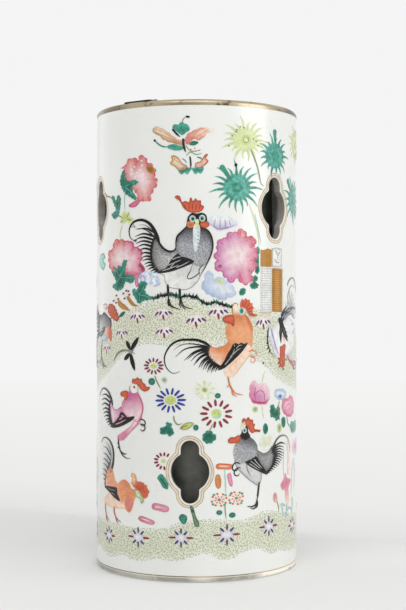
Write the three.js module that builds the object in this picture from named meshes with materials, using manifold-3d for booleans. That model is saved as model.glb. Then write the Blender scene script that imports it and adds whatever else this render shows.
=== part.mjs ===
// Cylindrical porcelain hat stand with six cut-out windows and a lift-out metal liner.
// Millimetres, +Z up, origin at the centre of the foot. The front of the stand faces -Y.

import * as THREE from "three";
import { mergeVertices } from "three/addons/utils/BufferGeometryUtils.js";
import Module from "manifold-3d";

const wasm = await Module();
wasm.setup();

// Porcelain cylinder
const outerRadius = 62.5;
const lipHeight = 281;
const wallThickness = 5;
const baseTop = 9;
const baseUnderside = 3.5;
const footRingWidth = 6;
const footBevelHeight = 2.4;
const footBevelWidth = 1.1;
const footSeatRound = 0.5;
const baseCornerRadius = 3;
const roundSegments = 96;
const lipSteps = 8;

// Windows cut through the wall: a wide middle lobe with a small lobe above and below
const windowMiddleRadius = 11;
const windowEndRadius = 5;
const windowEndOffset = 12.9;
const windowNotchRadius = 1.6;
const windowChamfer = 1.2;
const windowArcSteps = 7;
const windowsInRow = 3;
const upperRowHeight = 219;
const upperRowAngle = 48.6;
const lowerRowHeight = 64.3;
const lowerRowAngle = -3.7;
const cutterReach = 3;

// Sheet metal liner
const linerGap = 10.1;
const linerSheet = 0.9;
const linerBelowLip = 2.4;
const linerStandClearance = 0.3;
const linerBottomInset = 3;
const linerBottomSheet = 1;
const rimWireRadius = 1.6;
const rimWireSides = 10;
const seamWidth = 7;
const seamSheet = 0.8;
const seamAngle = 215;
const jointGap = 0.3;

// Lifting handles: a wire bail in two eyes on a plate soldered below the liner's rim
const handleAngles = [-36, 144];
const eyeSpan = 12;
const eyeLength = 2.6;
const eyeWall = 0.8;
const eyeSides = 16;
const eyeRise = 0.6;
const wireRadius = 0.7;
const wireSides = 8;
const wireSteps = 44;
const wireInEye = 0.3;
const wireEndShow = 1.2;
const bendRadius = 2;
const crossbarPastLip = 0.2;
const plateThickness = 2.2;
const plateHeight = 12;
const plateMargin = 2;

const degree = Math.PI / 180;
const linerRadius = outerRadius - wallThickness - linerGap;

const glaze = new THREE.MeshStandardMaterial({ color: 0xe6e7e2, roughness: 0.18, metalness: 0 });
const sheetMetal = new THREE.MeshStandardMaterial({ color: 0x55564f, roughness: 0.6, metalness: 0.8 });
const wireMetal = new THREE.MeshStandardMaterial({ color: 0x2e2822, roughness: 0.65, metalness: 0.7 });

// Position-only geometry whose shared corners are merged
function closedGeometry(geometry) {
  const plain = geometry.clone();
  plain.deleteAttribute("normal");
  plain.deleteAttribute("uv");
  return mergeVertices(plain, 1e-4);
}

function toSolid(geometry) {
  const closed = closedGeometry(geometry);
  return new wasm.Manifold(
    new wasm.Mesh({
      numProp: 3,
      vertProperties: new Float32Array(closed.attributes.position.array),
      triVerts: new Uint32Array(closed.index.array),
    }),
  );
}

function toGeometry(solid) {
  const mesh = solid.getMesh();
  return new THREE.BufferGeometry()
    .setAttribute("position", new THREE.BufferAttribute(new Float32Array(mesh.vertProperties), 3))
    .setIndex(new THREE.BufferAttribute(new Uint32Array(mesh.triVerts), 1));
}

function namedMesh(name, geometry, material) {
  const mesh = new THREE.Mesh(geometry, material);
  mesh.name = name;
  return mesh;
}

// A profile of (radius, height) points turned about +Z
function turned(points, segments = roundSegments) {
  return new THREE.LatheGeometry(points, segments).rotateX(Math.PI / 2);
}

// Points on an arc in the (radius, height) plane
function profileArc(centreRadius, centreHeight, radius, from, to, steps) {
  return Array.from({ length: steps + 1 }, (unused, i) => {
    const angle = from + ((to - from) * i) / steps;
    return new THREE.Vector2(
      centreRadius + radius * Math.cos(angle),
      centreHeight + radius * Math.sin(angle),
    );
  });
}

function porcelainProfile() {
  const innerRadius = outerRadius - wallThickness;
  const lipRadius = wallThickness / 2;
  const footOuter = outerRadius - footBevelWidth;
  const footInner = footOuter - footRingWidth;
  return [
    new THREE.Vector2(0, baseUnderside),
    new THREE.Vector2(footInner - footSeatRound, baseUnderside),
    new THREE.Vector2(footInner, footSeatRound),
    new THREE.Vector2(footInner + footSeatRound, 0),
    new THREE.Vector2(footOuter - footSeatRound, 0),
    new THREE.Vector2(footOuter, footSeatRound),
    new THREE.Vector2(outerRadius, footBevelHeight),
    ...profileArc(outerRadius - lipRadius, lipHeight - lipRadius, lipRadius, 0, Math.PI, lipSteps),
    ...profileArc(
      innerRadius - baseCornerRadius,
      baseTop + baseCornerRadius,
      baseCornerRadius,
      0,
      -Math.PI / 2,
      lipSteps / 2,
    ),
    new THREE.Vector2(0, baseTop),
  ];
}

// The window's outline in (arc length, height) about its centre, moved outwards by grow.
// The end lobes have straight sides, and a notch's arc joins each side to the middle lobe.
function windowOutline(grow) {
  const notchAcross = windowEndRadius + windowNotchRadius;
  const notchAlong = Math.sqrt((windowMiddleRadius + windowNotchRadius) ** 2 - notchAcross ** 2);
  const turn = Math.atan2(notchAlong, notchAcross);
  const middle = windowMiddleRadius + grow;
  const end = windowEndRadius + grow;
  const notch = windowNotchRadius - grow;
  const half = [
    ...profileArc(0, 0, middle, -turn, turn, windowArcSteps).slice(0, -1),
    ...profileArc(notchAcross, notchAlong, notch, turn + Math.PI, Math.PI, windowArcSteps),
    ...profileArc(0, windowEndOffset, end, 0, Math.PI, windowArcSteps),
    ...profileArc(-notchAcross, notchAlong, notch, 0, -turn, windowArcSteps).slice(0, -1),
  ];
  return [...half, ...half.map((point) => new THREE.Vector2(-point.x, -point.y))];
}

// A closed cutter whose section follows the wall: one outline ring at each radius
function windowCutter(angle, height) {
  const innerRadius = outerRadius - wallThickness;
  const stations = [
    { radius: innerRadius - cutterReach, grow: 0 },
    { radius: outerRadius - windowChamfer, grow: 0 },
    { radius: outerRadius, grow: windowChamfer },
    { radius: outerRadius + cutterReach, grow: windowChamfer },
  ];
  const rings = stations.map(({ radius, grow }) =>
    windowOutline(grow).map((point) => {
      const turn = angle * degree + point.x / outerRadius;
      return [radius * Math.sin(turn), -radius * Math.cos(turn), height + point.y];
    }),
  );
  const count = rings[0].length;
  const indices = [];
  for (let ring = 0; ring + 1 < rings.length; ring += 1) {
    for (let i = 0; i < count; i += 1) {
      const a = ring * count + i;
      const b = ring * count + ((i + 1) % count);
      indices.push(a, a + count, b, b, a + count, b + count);
    }
  }
  const cap = THREE.ShapeUtils.triangulateShape(windowOutline(0), []);
  const last = (rings.length - 1) * count;
  for (const [a, b, c] of cap) {
    indices.push(a, b, c);
    indices.push(last + a, last + c, last + b);
  }
  const geometry = new THREE.BufferGeometry()
    .setAttribute("position", new THREE.Float32BufferAttribute(rings.flat(2), 3))
    .setIndex(indices);
  return outwards(geometry);
}

// Turns every triangle round if the closed geometry is inside out
function outwards(geometry) {
  const index = geometry.index.array;
  const corner = [new THREE.Vector3(), new THREE.Vector3(), new THREE.Vector3()];
  let volume = 0;
  for (let i = 0; i < index.length; i += 3) {
    corner.forEach((point, k) => point.fromBufferAttribute(geometry.attributes.position, index[i + k]));
    volume += corner[0].dot(corner[1].clone().cross(corner[2]));
  }
  if (volume < 0) {
    for (let i = 0; i < index.length; i += 3) {
      const kept = index[i + 1];
      index[i + 1] = index[i + 2];
      index[i + 2] = kept;
    }
  }
  return geometry;
}

function porcelainBody() {
  let body = toSolid(turned(porcelainProfile()));
  for (let i = 0; i < windowsInRow; i += 1) {
    const step = (i * 360) / windowsInRow;
    body = body.subtract(toSolid(windowCutter(upperRowAngle + step, upperRowHeight)));
    body = body.subtract(toSolid(windowCutter(lowerRowAngle + step, lowerRowHeight)));
  }
  return namedMesh("porcelain_body", toGeometry(body), glaze);
}

const linerTop = lipHeight - linerBelowLip;
const linerFoot = baseTop + linerStandClearance;
const linerFloor = linerFoot + linerBottomInset;

function linerWall() {
  const inner = linerRadius - linerSheet;
  const wall = turned([
    new THREE.Vector2(inner, linerFoot),
    new THREE.Vector2(linerRadius, linerFoot),
    new THREE.Vector2(linerRadius, linerTop - 2 * rimWireRadius - jointGap),
    new THREE.Vector2(inner, linerTop - 2 * rimWireRadius - jointGap),
    new THREE.Vector2(inner, linerFoot),
  ]);
  return namedMesh("liner_wall", wall, sheetMetal);
}

function linerBottom() {
  const radius = linerRadius - linerSheet - jointGap;
  const bottom = turned([
    new THREE.Vector2(0, linerFloor),
    new THREE.Vector2(radius - linerBottomSheet, linerFloor),
    new THREE.Vector2(radius - linerBottomSheet, linerFoot),
    new THREE.Vector2(radius, linerFoot),
    new THREE.Vector2(radius, linerFloor + linerBottomSheet),
    new THREE.Vector2(0, linerFloor + linerBottomSheet),
  ]);
  return namedMesh("liner_bottom", bottom, sheetMetal);
}

function linerRimWire() {
  const centre = linerRadius - linerSheet / 2;
  const wire = profileArc(centre, linerTop - rimWireRadius, rimWireRadius, 0, 2 * Math.PI, rimWireSides);
  return namedMesh("liner_rim_wire", turned(wire), sheetMetal);
}

// A ring sector of sheet: inner and outer radius, half width along the outer arc, foot and top
function sheetStrip(inner, outer, halfWidth, foot, top) {
  const half = halfWidth / outer;
  const shape = new THREE.Shape();
  shape.absarc(0, 0, outer, -Math.PI / 2 - half, -Math.PI / 2 + half, false);
  shape.absarc(0, 0, inner, -Math.PI / 2 + half, -Math.PI / 2 - half, true);
  shape.closePath();
  const strip = new THREE.ExtrudeGeometry(shape, {
    depth: top - foot,
    bevelEnabled: false,
    curveSegments: lipSteps,
  });
  return strip.translate(0, 0, foot);
}

function linerSideSeam() {
  const inner = linerRadius + jointGap;
  const top = linerTop - 2 * rimWireRadius - jointGap;
  const strip = sheetStrip(inner, inner + seamSheet, seamWidth / 2, linerFoot, top);
  const mesh = namedMesh("liner_side_seam", strip, sheetMetal);
  mesh.rotation.z = seamAngle * degree;
  return mesh;
}

const plateInner = linerRadius + jointGap;
const postInner = linerRadius - linerSheet / 2 + rimWireRadius + jointGap;
const eyeRadius = wireRadius + wireInEye + eyeWall;
const pivotRadius = postInner + eyeRadius;
const pivotHeight = lipHeight + eyeRise;

// The soldered plate with an eye at each end, in the frame where its middle faces -Y
function handleBracket(name) {
  const halfWidth = eyeSpan / 2 + eyeLength / 2 + plateMargin;
  const top = linerTop - 2 * rimWireRadius - jointGap;
  const plate = sheetStrip(plateInner, plateInner + plateThickness, halfWidth, top - plateHeight, top);
  let bracket = toSolid(plate);
  for (const side of [-1, 1]) {
    bracket = bracket.add(toSolid(eyePost(side, top)));
    bracket = bracket.add(toSolid(eyeCylinder(side, eyeRadius, eyeLength)));
    bracket = bracket.subtract(toSolid(eyeCylinder(side, wireRadius + wireInEye, 2 * eyeLength)));
  }
  return namedMesh(name, toGeometry(bracket), wireMetal);
}

function eyePost(side, plateTop) {
  const foot = plateTop - plateHeight / 2;
  const rise = pivotHeight - foot;
  const post = new THREE.BoxGeometry(eyeLength, eyeRadius, rise);
  return post.translate((side * eyeSpan) / 2, -postInner - eyeRadius / 2, foot + rise / 2);
}

function eyeCylinder(side, radius, length) {
  const barrel = new THREE.CylinderGeometry(radius, radius, length, eyeSides);
  return barrel.rotateZ(Math.PI / 2).translate((side * eyeSpan) / 2, -pivotRadius, pivotHeight);
}

// The bail's wire: through one eye, out along an arm, over the crossbar and back to the other eye
function bailPath(reach) {
  const armAt = eyeSpan / 2 + eyeLength / 2 + jointGap + bendRadius;
  const endAt = eyeSpan / 2 - eyeLength / 2 - wireEndShow;
  const corners = [
    [-endAt, 0],
    [-armAt, 0],
    [-armAt, -reach],
    [armAt, -reach],
    [armAt, 0],
    [endAt, 0],
  ].map(([x, y]) => new THREE.Vector3(x, y, 0));
  const path = new THREE.CurvePath();
  let from = corners[0];
  for (let i = 1; i < corners.length - 1; i += 1) {
    const before = corners[i - 1].clone().sub(corners[i]).setLength(bendRadius).add(corners[i]);
    const after = corners[i + 1].clone().sub(corners[i]).setLength(bendRadius).add(corners[i]);
    path.add(new THREE.LineCurve3(from, before));
    path.add(new THREE.QuadraticBezierCurve3(before, corners[i], after));
    from = after;
  }
  path.add(new THREE.LineCurve3(from, corners[corners.length - 1]));
  return path;
}

function liftingHandle(name) {
  const reach = outerRadius - wallThickness / 2 + crossbarPastLip - pivotRadius;
  const drop = pivotHeight - (lipHeight + jointGap + wireRadius);
  const section = new THREE.Shape();
  section.absarc(0, 0, wireRadius, 0, 2 * Math.PI);
  const wire = new THREE.ExtrudeGeometry(section, {
    steps: wireSteps,
    curveSegments: wireSides,
    extrudePath: bailPath(reach),
  });
  wire.rotateX(Math.asin(drop / reach)).translate(0, -pivotRadius, pivotHeight);
  return namedMesh(name, wire, wireMetal);
}

// Brackets and bails turned to their places round the rim
function handleGroup(angle, place) {
  const group = new THREE.Group();
  group.add(handleBracket(`handle_bracket_${place}`), liftingHandle(`lifting_handle_${place}`));
  group.rotation.z = angle * degree;
  return group;
}

const hatStand = new THREE.Group();
hatStand.add(porcelainBody(), linerWall(), linerBottom(), linerRimWire(), linerSideSeam());
hatStand.add(handleGroup(handleAngles[0], "front"), handleGroup(handleAngles[1], "back"));

export default hatStand;
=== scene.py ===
import math
import random
import bpy
import numpy
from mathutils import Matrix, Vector
from mathutils.geometry import delaunay_2d_cdt


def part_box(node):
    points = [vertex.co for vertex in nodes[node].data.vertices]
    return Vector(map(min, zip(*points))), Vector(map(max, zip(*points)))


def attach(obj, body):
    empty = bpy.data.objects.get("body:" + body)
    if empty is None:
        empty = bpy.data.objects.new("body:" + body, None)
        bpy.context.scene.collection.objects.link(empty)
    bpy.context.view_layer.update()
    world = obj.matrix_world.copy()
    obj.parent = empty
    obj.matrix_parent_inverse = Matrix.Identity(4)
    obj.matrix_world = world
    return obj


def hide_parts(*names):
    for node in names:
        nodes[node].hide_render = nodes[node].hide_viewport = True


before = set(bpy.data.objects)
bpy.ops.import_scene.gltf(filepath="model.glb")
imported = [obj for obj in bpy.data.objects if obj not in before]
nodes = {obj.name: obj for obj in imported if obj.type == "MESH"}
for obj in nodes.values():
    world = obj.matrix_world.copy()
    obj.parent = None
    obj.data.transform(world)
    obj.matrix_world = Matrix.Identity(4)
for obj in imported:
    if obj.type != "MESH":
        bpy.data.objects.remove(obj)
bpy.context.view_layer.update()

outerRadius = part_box("porcelain_body")[1].x * 1000  # millimetres, like every size below
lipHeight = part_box("porcelain_body")[1].z * 1000
halfTurn = math.pi * outerRadius  # half the way round the wall
millimetre = 0.001

# The camera stands level, opposite the front of the stand
cameraSetup = {
    "distance": 0.7975,
    "height": 0.1613,
    "lens": 74.8,
    "sensor": 36.0,
    "turn": 0.285,
    "sight": (0.05, 50),
}


def makeCamera():
    data = bpy.data.cameras.new("camera")
    data.lens = cameraSetup["lens"]
    data.sensor_width = cameraSetup["sensor"]
    data.clip_start, data.clip_end = cameraSetup["sight"]
    camera = bpy.data.objects.new("camera", data)
    camera.location = (0, -cameraSetup["distance"], cameraSetup["height"])
    camera.rotation_euler = (math.radians(90), 0, math.radians(-cameraSetup["turn"]))
    bpy.context.scene.collection.objects.link(camera)
    bpy.context.scene.camera = camera


makeCamera()
bpy.context.scene.view_settings.view_transform = "Standard"
print("camera placed")


# Sets the named sockets of a node, each to a value or to the socket that feeds it
def feed(tree, node, **settings):
    for name, value in settings.items():
        socket = node.inputs[name.replace("_", " ")]
        if isinstance(value, bpy.types.NodeSocket):
            tree.links.new(value, socket)
        elif socket.type == "RGBA":
            socket.default_value = (*value[:3], 1)
        else:
            socket.default_value = value


def addNode(tree, kind, **settings):
    node = tree.nodes.new(kind)
    for name in [name for name in settings if hasattr(node, name)]:
        setattr(node, name, settings.pop(name))
    feed(tree, node, **settings)
    return node


def newMaterial(name, **settings):
    material = bpy.data.materials.new(name)
    material.use_nodes = True
    tree = material.node_tree
    shader = tree.nodes["Principled BSDF"]
    feed(tree, shader, **settings)
    return material, tree, shader, addNode(tree, "ShaderNodeTexCoord").outputs["Object"]


def combined(tree, operation, *values):
    node = addNode(tree, "ShaderNodeMath", operation=operation)
    for socket, value in zip(node.inputs, values):
        if isinstance(value, bpy.types.NodeSocket):
            tree.links.new(value, socket)
        else:
            socket.default_value = value
    return node.outputs["Value"]


def mapped(tree, value, low, high, start=0.0, end=1.0):
    ends = {"From_Min": low, "From_Max": high, "To_Min": start, "To_Max": end}
    return addNode(tree, "ShaderNodeMapRange", Value=value, **ends).outputs["Result"]


def mixed(tree, share, first, second):
    node = addNode(tree, "ShaderNodeMix", data_type="RGBA", Factor=share, A=first, B=second)
    return node.outputs["Result"]


def noise(tree, place, scale, **settings):
    return addNode(tree, "ShaderNodeTexNoise", Vector=place, Scale=scale, **settings).outputs["Fac"]


# Paper floor, and a pale wall well behind it. Seen directly or in a reflection, the far
# floor and the wall show their own tones, whatever light falls there. The floor's tones hold painted shade,
# darker behind the stand and to the left.
stageSetup = {
    "floorSize": 7.0,
    "wallDistance": 1.9,
    "shadeSlant": 0.5,  # how fast the floor's painted shade gives way towards the right, darker on the left
    # Painted shade on the floor: the near tones are darker in a band behind the stand, and the far tones are
    # darker near it and to the left, lighter further back
    "nearShadeTones": ((-0.30, 0.78), (-0.03, 0.78), (0.0, 0.80), (0.037, 0.785), (0.15, 0.745), (0.30, 0.74)),
    "farShadeTones": ((0.10, 0.74), (0.17, 0.79), (0.28, 0.83), (0.55, 0.86), (1.2, 0.885), (2.1, 0.905)),
    "farFrom": (0.115, 0.145),
    "wallTone": 0.912,
    "warmth": 0.993,  # blue to red and green
    "roughness": 0.9,
    "worldTone": 0.75,
}


def toneRamp(tree, factor, stops):
    low, high = stops[0][0], stops[-1][0]
    ramp = addNode(tree, "ShaderNodeValToRGB", Fac=mapped(tree, factor, low, high))
    for index, (place, tone) in enumerate(stops):
        where = (place - low) / (high - low)
        if index < 2:
            stop = ramp.color_ramp.elements[index]
            stop.position = where
        else:
            stop = ramp.color_ramp.elements.new(where)
        stop.color = (tone, tone, tone * stageSetup["warmth"], 1)
    return ramp.outputs["Color"]


# Mixes a glow over the shader for direct and reflected looks, as far as the mask lets it
def addGlow(tree, shader, colour, mask=1.0):
    path = addNode(tree, "ShaderNodeLightPath").outputs
    seen = combined(tree, "MAXIMUM", path["Is Camera Ray"], path["Is Glossy Ray"])
    glow = addNode(tree, "ShaderNodeEmission", Color=colour)
    mix = addNode(tree, "ShaderNodeMixShader", Fac=combined(tree, "MULTIPLY", seen, mask))
    tree.links.new(shader.outputs["BSDF"], mix.inputs[1])
    tree.links.new(glow.outputs["Emission"], mix.inputs[2])
    tree.links.new(mix.outputs["Shader"], tree.nodes["Material Output"].inputs["Surface"])


def floorMaterial():
    material, tree, shader, place = newMaterial("paperFloor", Roughness=stageSetup["roughness"])
    split = addNode(tree, "ShaderNodeSeparateXYZ", Vector=place).outputs
    # Painted shade: the floor's tones darken behind the stand and towards the left
    shadeSlanted = combined(tree, "MULTIPLY_ADD", split["X"], stageSetup["shadeSlant"], split["Y"])
    feed(tree, shader, Base_Color=toneRamp(tree, split["Y"], stageSetup["nearShadeTones"]))
    far = toneRamp(tree, shadeSlanted, stageSetup["farShadeTones"])
    addGlow(tree, shader, far, mapped(tree, shadeSlanted, *stageSetup["farFrom"]))
    return material


def wallMaterial():
    tone = (stageSetup["wallTone"],) * 3
    rough = stageSetup["roughness"]
    material, tree, shader, _ = newMaterial("paperWall", Base_Color=tone, Roughness=rough)
    addGlow(tree, shader, tone)
    return material


def makeStage():
    size = stageSetup["floorSize"]
    bpy.ops.object.select_all(action="DESELECT")
    bpy.ops.mesh.primitive_plane_add(size=size, location=(0, 0, 0))
    floor = bpy.context.object
    floor.name = "floor"
    floor.data.materials.append(floorMaterial())
    upright = (math.radians(90), 0, 0)
    behind = (0, stageSetup["wallDistance"], 0)
    bpy.ops.mesh.primitive_plane_add(size=size, location=behind, rotation=upright)
    wall = bpy.context.object
    wall.name = "backdrop"
    wall.data.materials.append(wallMaterial())
    world = bpy.data.worlds.new("studio")
    world.use_nodes = True
    tone = stageSetup["worldTone"]
    world.node_tree.nodes["Background"].inputs["Color"].default_value = (tone, tone, tone, 1)
    bpy.context.scene.world = world


lampSetup = {
    "rightWindow": {"at": (1.5, -0.65, 0.75), "size": 1.1, "power": 7.5},
    "leftWindow": {"at": (-1.5, 0.9, 0.5), "size": 1.6, "power": 3.0},
    "topSheet": {"at": (-0.1, -0.9, 1.5), "size": 1.2, "power": 8.5},
}
lampAim = Vector((0, 0, 0.14))


def makeLamps():
    for name, lamp in lampSetup.items():
        data = bpy.data.lights.new(name, "AREA")
        data.size = lamp["size"]
        data.energy = lamp["power"]
        light = bpy.data.objects.new(name, data)
        light.location = lamp["at"]
        light.rotation_euler = (lampAim - light.location).to_track_quat("-Z", "Y").to_euler()
        bpy.context.scene.collection.objects.link(light)


makeStage()
makeLamps()
print("stage and lamps placed")

# Every tone of the enamels, as it looks on the glaze (red, green, blue of 255)
paints = {
    "ink": (10, 9, 10),
    "charcoal": (46, 44, 45),
    "slate": (116, 114, 114),
    "ash": (168, 168, 166),
    "mist": (206, 207, 205),
    "white": (232, 233, 228),
    "jade": (56, 136, 116),
    "deepJade": (28, 94, 78),
    "paleJade": (160, 206, 190),
    "seaJade": (84, 160, 144),
    "rose": (212, 124, 150),
    "deepRose": (184, 70, 108),
    "crimson": (200, 84, 96),
    "orchid": (200, 132, 174),
    "salmon": (212, 128, 122),
    "blush": (234, 212, 214),
    "magenta": (192, 92, 142),
    "pink": (222, 152, 176),
    "lilac": (198, 190, 216),
    "coral": (204, 98, 66),
    "deepCoral": (164, 62, 40),
    "orange": (216, 136, 88),
    "peach": (226, 160, 116),
    "shell": (238, 210, 188),
    "apricot": (236, 192, 152),
    "rust": (200, 104, 58),
    "umber": (136, 92, 40),
    "ochre": (176, 126, 52),
    "amber": (206, 148, 76),
    "blue": (52, 64, 146),
    "navy": (58, 62, 108),
    "rosewood": (196, 124, 136),
    "sky": (190, 203, 225),
    "frost": (214, 226, 230),
    "steel": (160, 178, 206),
    "dusk": (160, 148, 186),
    "dove": (176, 178, 182),
    "purple": (98, 70, 112),
    "wine": (138, 48, 62),
    "sage": (215, 217, 195),
    "paleSage": (228, 230, 219),
    "moss": (128, 146, 96),
    "lime": (196, 208, 124),
    "paleLime": (210, 220, 168),
    "gilt": (200, 178, 150),
    "deepGilt": (150, 126, 98),
    "cream": (234, 226, 208),
}
brush = {
    "lift": 0.05,  # of the lowest enamel above the glaze
    "layer": 0.035,  # between one level and the next
    "thickness": 0.11,
    "spacing": 1.1,  # between the points on an outline
    "grid": 1.25,  # between the points inside one
    "rowPitch": 0.87,  # of the grid, as a share of it
    "edgeGap": 0.5,  # the least from the outline to the grid, as a share of it
    "lobeSpacing": 0.5,
    "strokeSpacing": 0.9,
    "roundness": 0.9,
    "rimWidth": 2.0,
    "dotSides": 12,
    "ringedDot": 2.5,  # from this size a dot has two rings
    "smallestFace": 1e-4,
    "tolerance": 1e-5,
    "smoothAngle": 30,
}
# A stroke's width along it: swelling from its start and thinning to its tip, or a leaf's
strokeShape = {
    "start": 0.45,
    "swell": 0.16,
    "end": 1.04,
    "tip": 0.35,
    "point": 0.8,
    "leafEnds": 0.06,
    "leafPoint": 0.7,
}


def linear(name):
    tones = paints[name] if isinstance(name, str) else name
    return numpy.array([((tone / 255 + 0.055) / 1.055) ** 2.4 for tone in tones])


# Marks: each is a small dictionary, given in millimetres round the wall and up it
def fill(outline, colour, rim=None, **more):
    return {"kind": "fill", "outline": outline, "colour": colour, "rim": rim or colour, **more}


def stroke(points, width, colour, **more):
    return {"kind": "stroke", "points": points, "width": width, "colour": colour, **more}


def dot(centre, across, colour, **more):
    return {"kind": "dot", "centre": centre, "across": across, "colour": colour, **more}


def strokes(lines, width, colour, **more):
    return [stroke(points, width, colour, **more) for points in lines]


def dots(centres, across, colour, **more):
    return [dot(centre, across, colour, **more) for centre in centres]


# Short strokes pointing away from a centre, squash being their height to width
def rays(centre, inner, outer, count, width, colour, squash=1.0, start=0.0, sweep=360.0, **more):
    marks = []
    for index in range(count):
        angle = math.radians(start + sweep * index / count)
        reach = [
            (centre[0] + r * math.cos(angle), centre[1] + squash * r * math.sin(angle))
            for r in (inner, (inner + outer) / 2, outer)
        ]
        marks.append(stroke(reach, width, colour, **more))
    return marks


# Feathers from a line of roots to a row of tips, bowed by bend of their length
def feathers(roots, tips, width, colour, bend=0.12, **more):
    marks = []
    for index, tip in enumerate(tips):
        share = index / max(1, len(tips) - 1) * (len(roots) - 1)
        first = min(int(share), len(roots) - 2)
        part = share - first
        root = [roots[first][k] * (1 - part) + roots[first + 1][k] * part for k in (0, 1)]
        along = (tip[0] - root[0], tip[1] - root[1])
        middle = (
            root[0] + 0.55 * along[0] - bend * along[1],
            root[1] + 0.55 * along[1] + bend * along[0],
        )
        marks.append(stroke([root, middle, tip], width, colour, tip=0.75, **more))
    return marks


# A smooth line through the points; roundness 0 keeps the corners
def lineThrough(points, spacing, closed, roundness=1.0):
    places = [numpy.array(point, float) for point in points]
    count = len(places)
    spans = count if closed else count - 1
    made = []
    for index in range(spans):
        here, there = places[index], places[(index + 1) % count]
        before = places[index - 1] if closed or index else here
        after = places[(index + 2) % count] if closed or index + 2 < count else there
        length = numpy.linalg.norm(there - here)
        leave = there - before
        arrive = after - here
        leave = leave / (numpy.linalg.norm(leave) + 1e-9) * length * roundness
        arrive = arrive / (numpy.linalg.norm(arrive) + 1e-9) * length * roundness
        steps = max(1, math.ceil(length / spacing))
        for step in range(steps):
            t = step / steps
            made.append(
                (2 * t**3 - 3 * t**2 + 1) * here
                + (t**3 - 2 * t**2 + t) * leave
                + (3 * t**2 - 2 * t**3) * there
                + (t**3 - t**2) * arrive
            )
    if not closed:
        made.append(places[-1])
    return numpy.array(made)


def insideOutline(points, outline):
    inside = numpy.zeros(len(points), bool)
    for start, end in zip(outline, numpy.roll(outline, -1, 0)):
        crosses = (start[1] > points[:, 1]) != (end[1] > points[:, 1])
        rise = end[1] - start[1]
        at = start[0] + (points[:, 1] - start[1]) * (end[0] - start[0]) / (rise if rise else 1e-9)
        inside ^= crosses & (points[:, 0] < at)
    return inside


def distanceTo(points, outline):
    starts, ends = outline, numpy.roll(outline, -1, 0)
    along = ends - starts
    square = (along**2).sum(1) + 1e-12
    offset = points[:, None] - starts[None]
    share = numpy.clip((offset * along[None]).sum(2) / square, 0, 1)
    nearest = starts[None] + share[..., None] * along[None]
    return numpy.sqrt(((points[:, None] - nearest) ** 2).sum(2)).min(1)


def newCanvas(shift=0.0, mirror=None, base=0):
    return {
        "points": [], "faces": [], "tones": [], "finishes": [], "levels": [],
        "shift": shift, "mirror": mirror, "base": base,
    }


def addSheet(canvas, places, faces, tones, mark, level):
    mirror = canvas["mirror"]
    if mirror is not None:
        places = numpy.column_stack([2 * mirror - places[:, 0], places[:, 1]])
    turned = places[faces]
    first, second = turned[:, 1] - turned[:, 0], turned[:, 2] - turned[:, 0]
    area = first[:, 0] * second[:, 1] - first[:, 1] * second[:, 0]
    solid = numpy.abs(area) > brush["smallestFace"]
    faces, area = faces[solid], area[solid]
    faces[area < 0] = faces[area < 0][:, ::-1]
    start = sum(len(block) for block in canvas["points"])
    level = canvas["base"] + mark.get("level", level)
    lift = numpy.full(len(places), brush["lift"] + brush["layer"] * level)
    canvas["points"].append(numpy.column_stack([places[:, 0] + canvas["shift"], places[:, 1], lift]))
    canvas["faces"].append(faces + start)
    canvas["tones"].append(tones)
    canvas["levels"].append(numpy.full(len(faces), level))
    mottled = leafy if mark.get("colour") in ("jade", "deepJade", "seaJade") else 0
    canvas["finishes"] += [mark.get("finish", mottled)] * len(faces)


# One colour for all places, or a change towards a second one between two places
def tonesAcross(places, colour, fade=None):
    tones = numpy.tile(linear(colour), (len(places), 1))
    if fade:
        start, end = numpy.array(fade[0]), numpy.array(fade[1])
        share = ((places - start) @ (end - start)) / ((end - start) ** 2).sum()
        share = numpy.clip(share, 0, 1)[:, None]
        tones = tones * (1 - share) + linear(fade[2]) * share
    return tones


# Round lobes of the given height and pitch along an outline
def withLobes(outline, height, pitch):
    steps = numpy.linalg.norm(numpy.roll(outline, -1, 0) - outline, axis=1)
    along = numpy.concatenate([[0], numpy.cumsum(steps)[:-1]])
    count = max(3, round(steps.sum() / pitch))
    wave = height * numpy.abs(numpy.sin(math.pi * count * along / steps.sum())) ** 0.8
    way = numpy.roll(outline, -1, 0) - numpy.roll(outline, 1, 0)
    way /= numpy.linalg.norm(way, axis=1)[:, None] + 1e-9
    after = numpy.roll(outline, -1, 0)
    area = (outline[:, 0] * after[:, 1] - outline[:, 1] * after[:, 0]).sum()
    outward = numpy.column_stack([way[:, 1], -way[:, 0]]) * (1 if area > 0 else -1)
    return outline + outward * (wave - 0.4 * height)[:, None]


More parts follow.
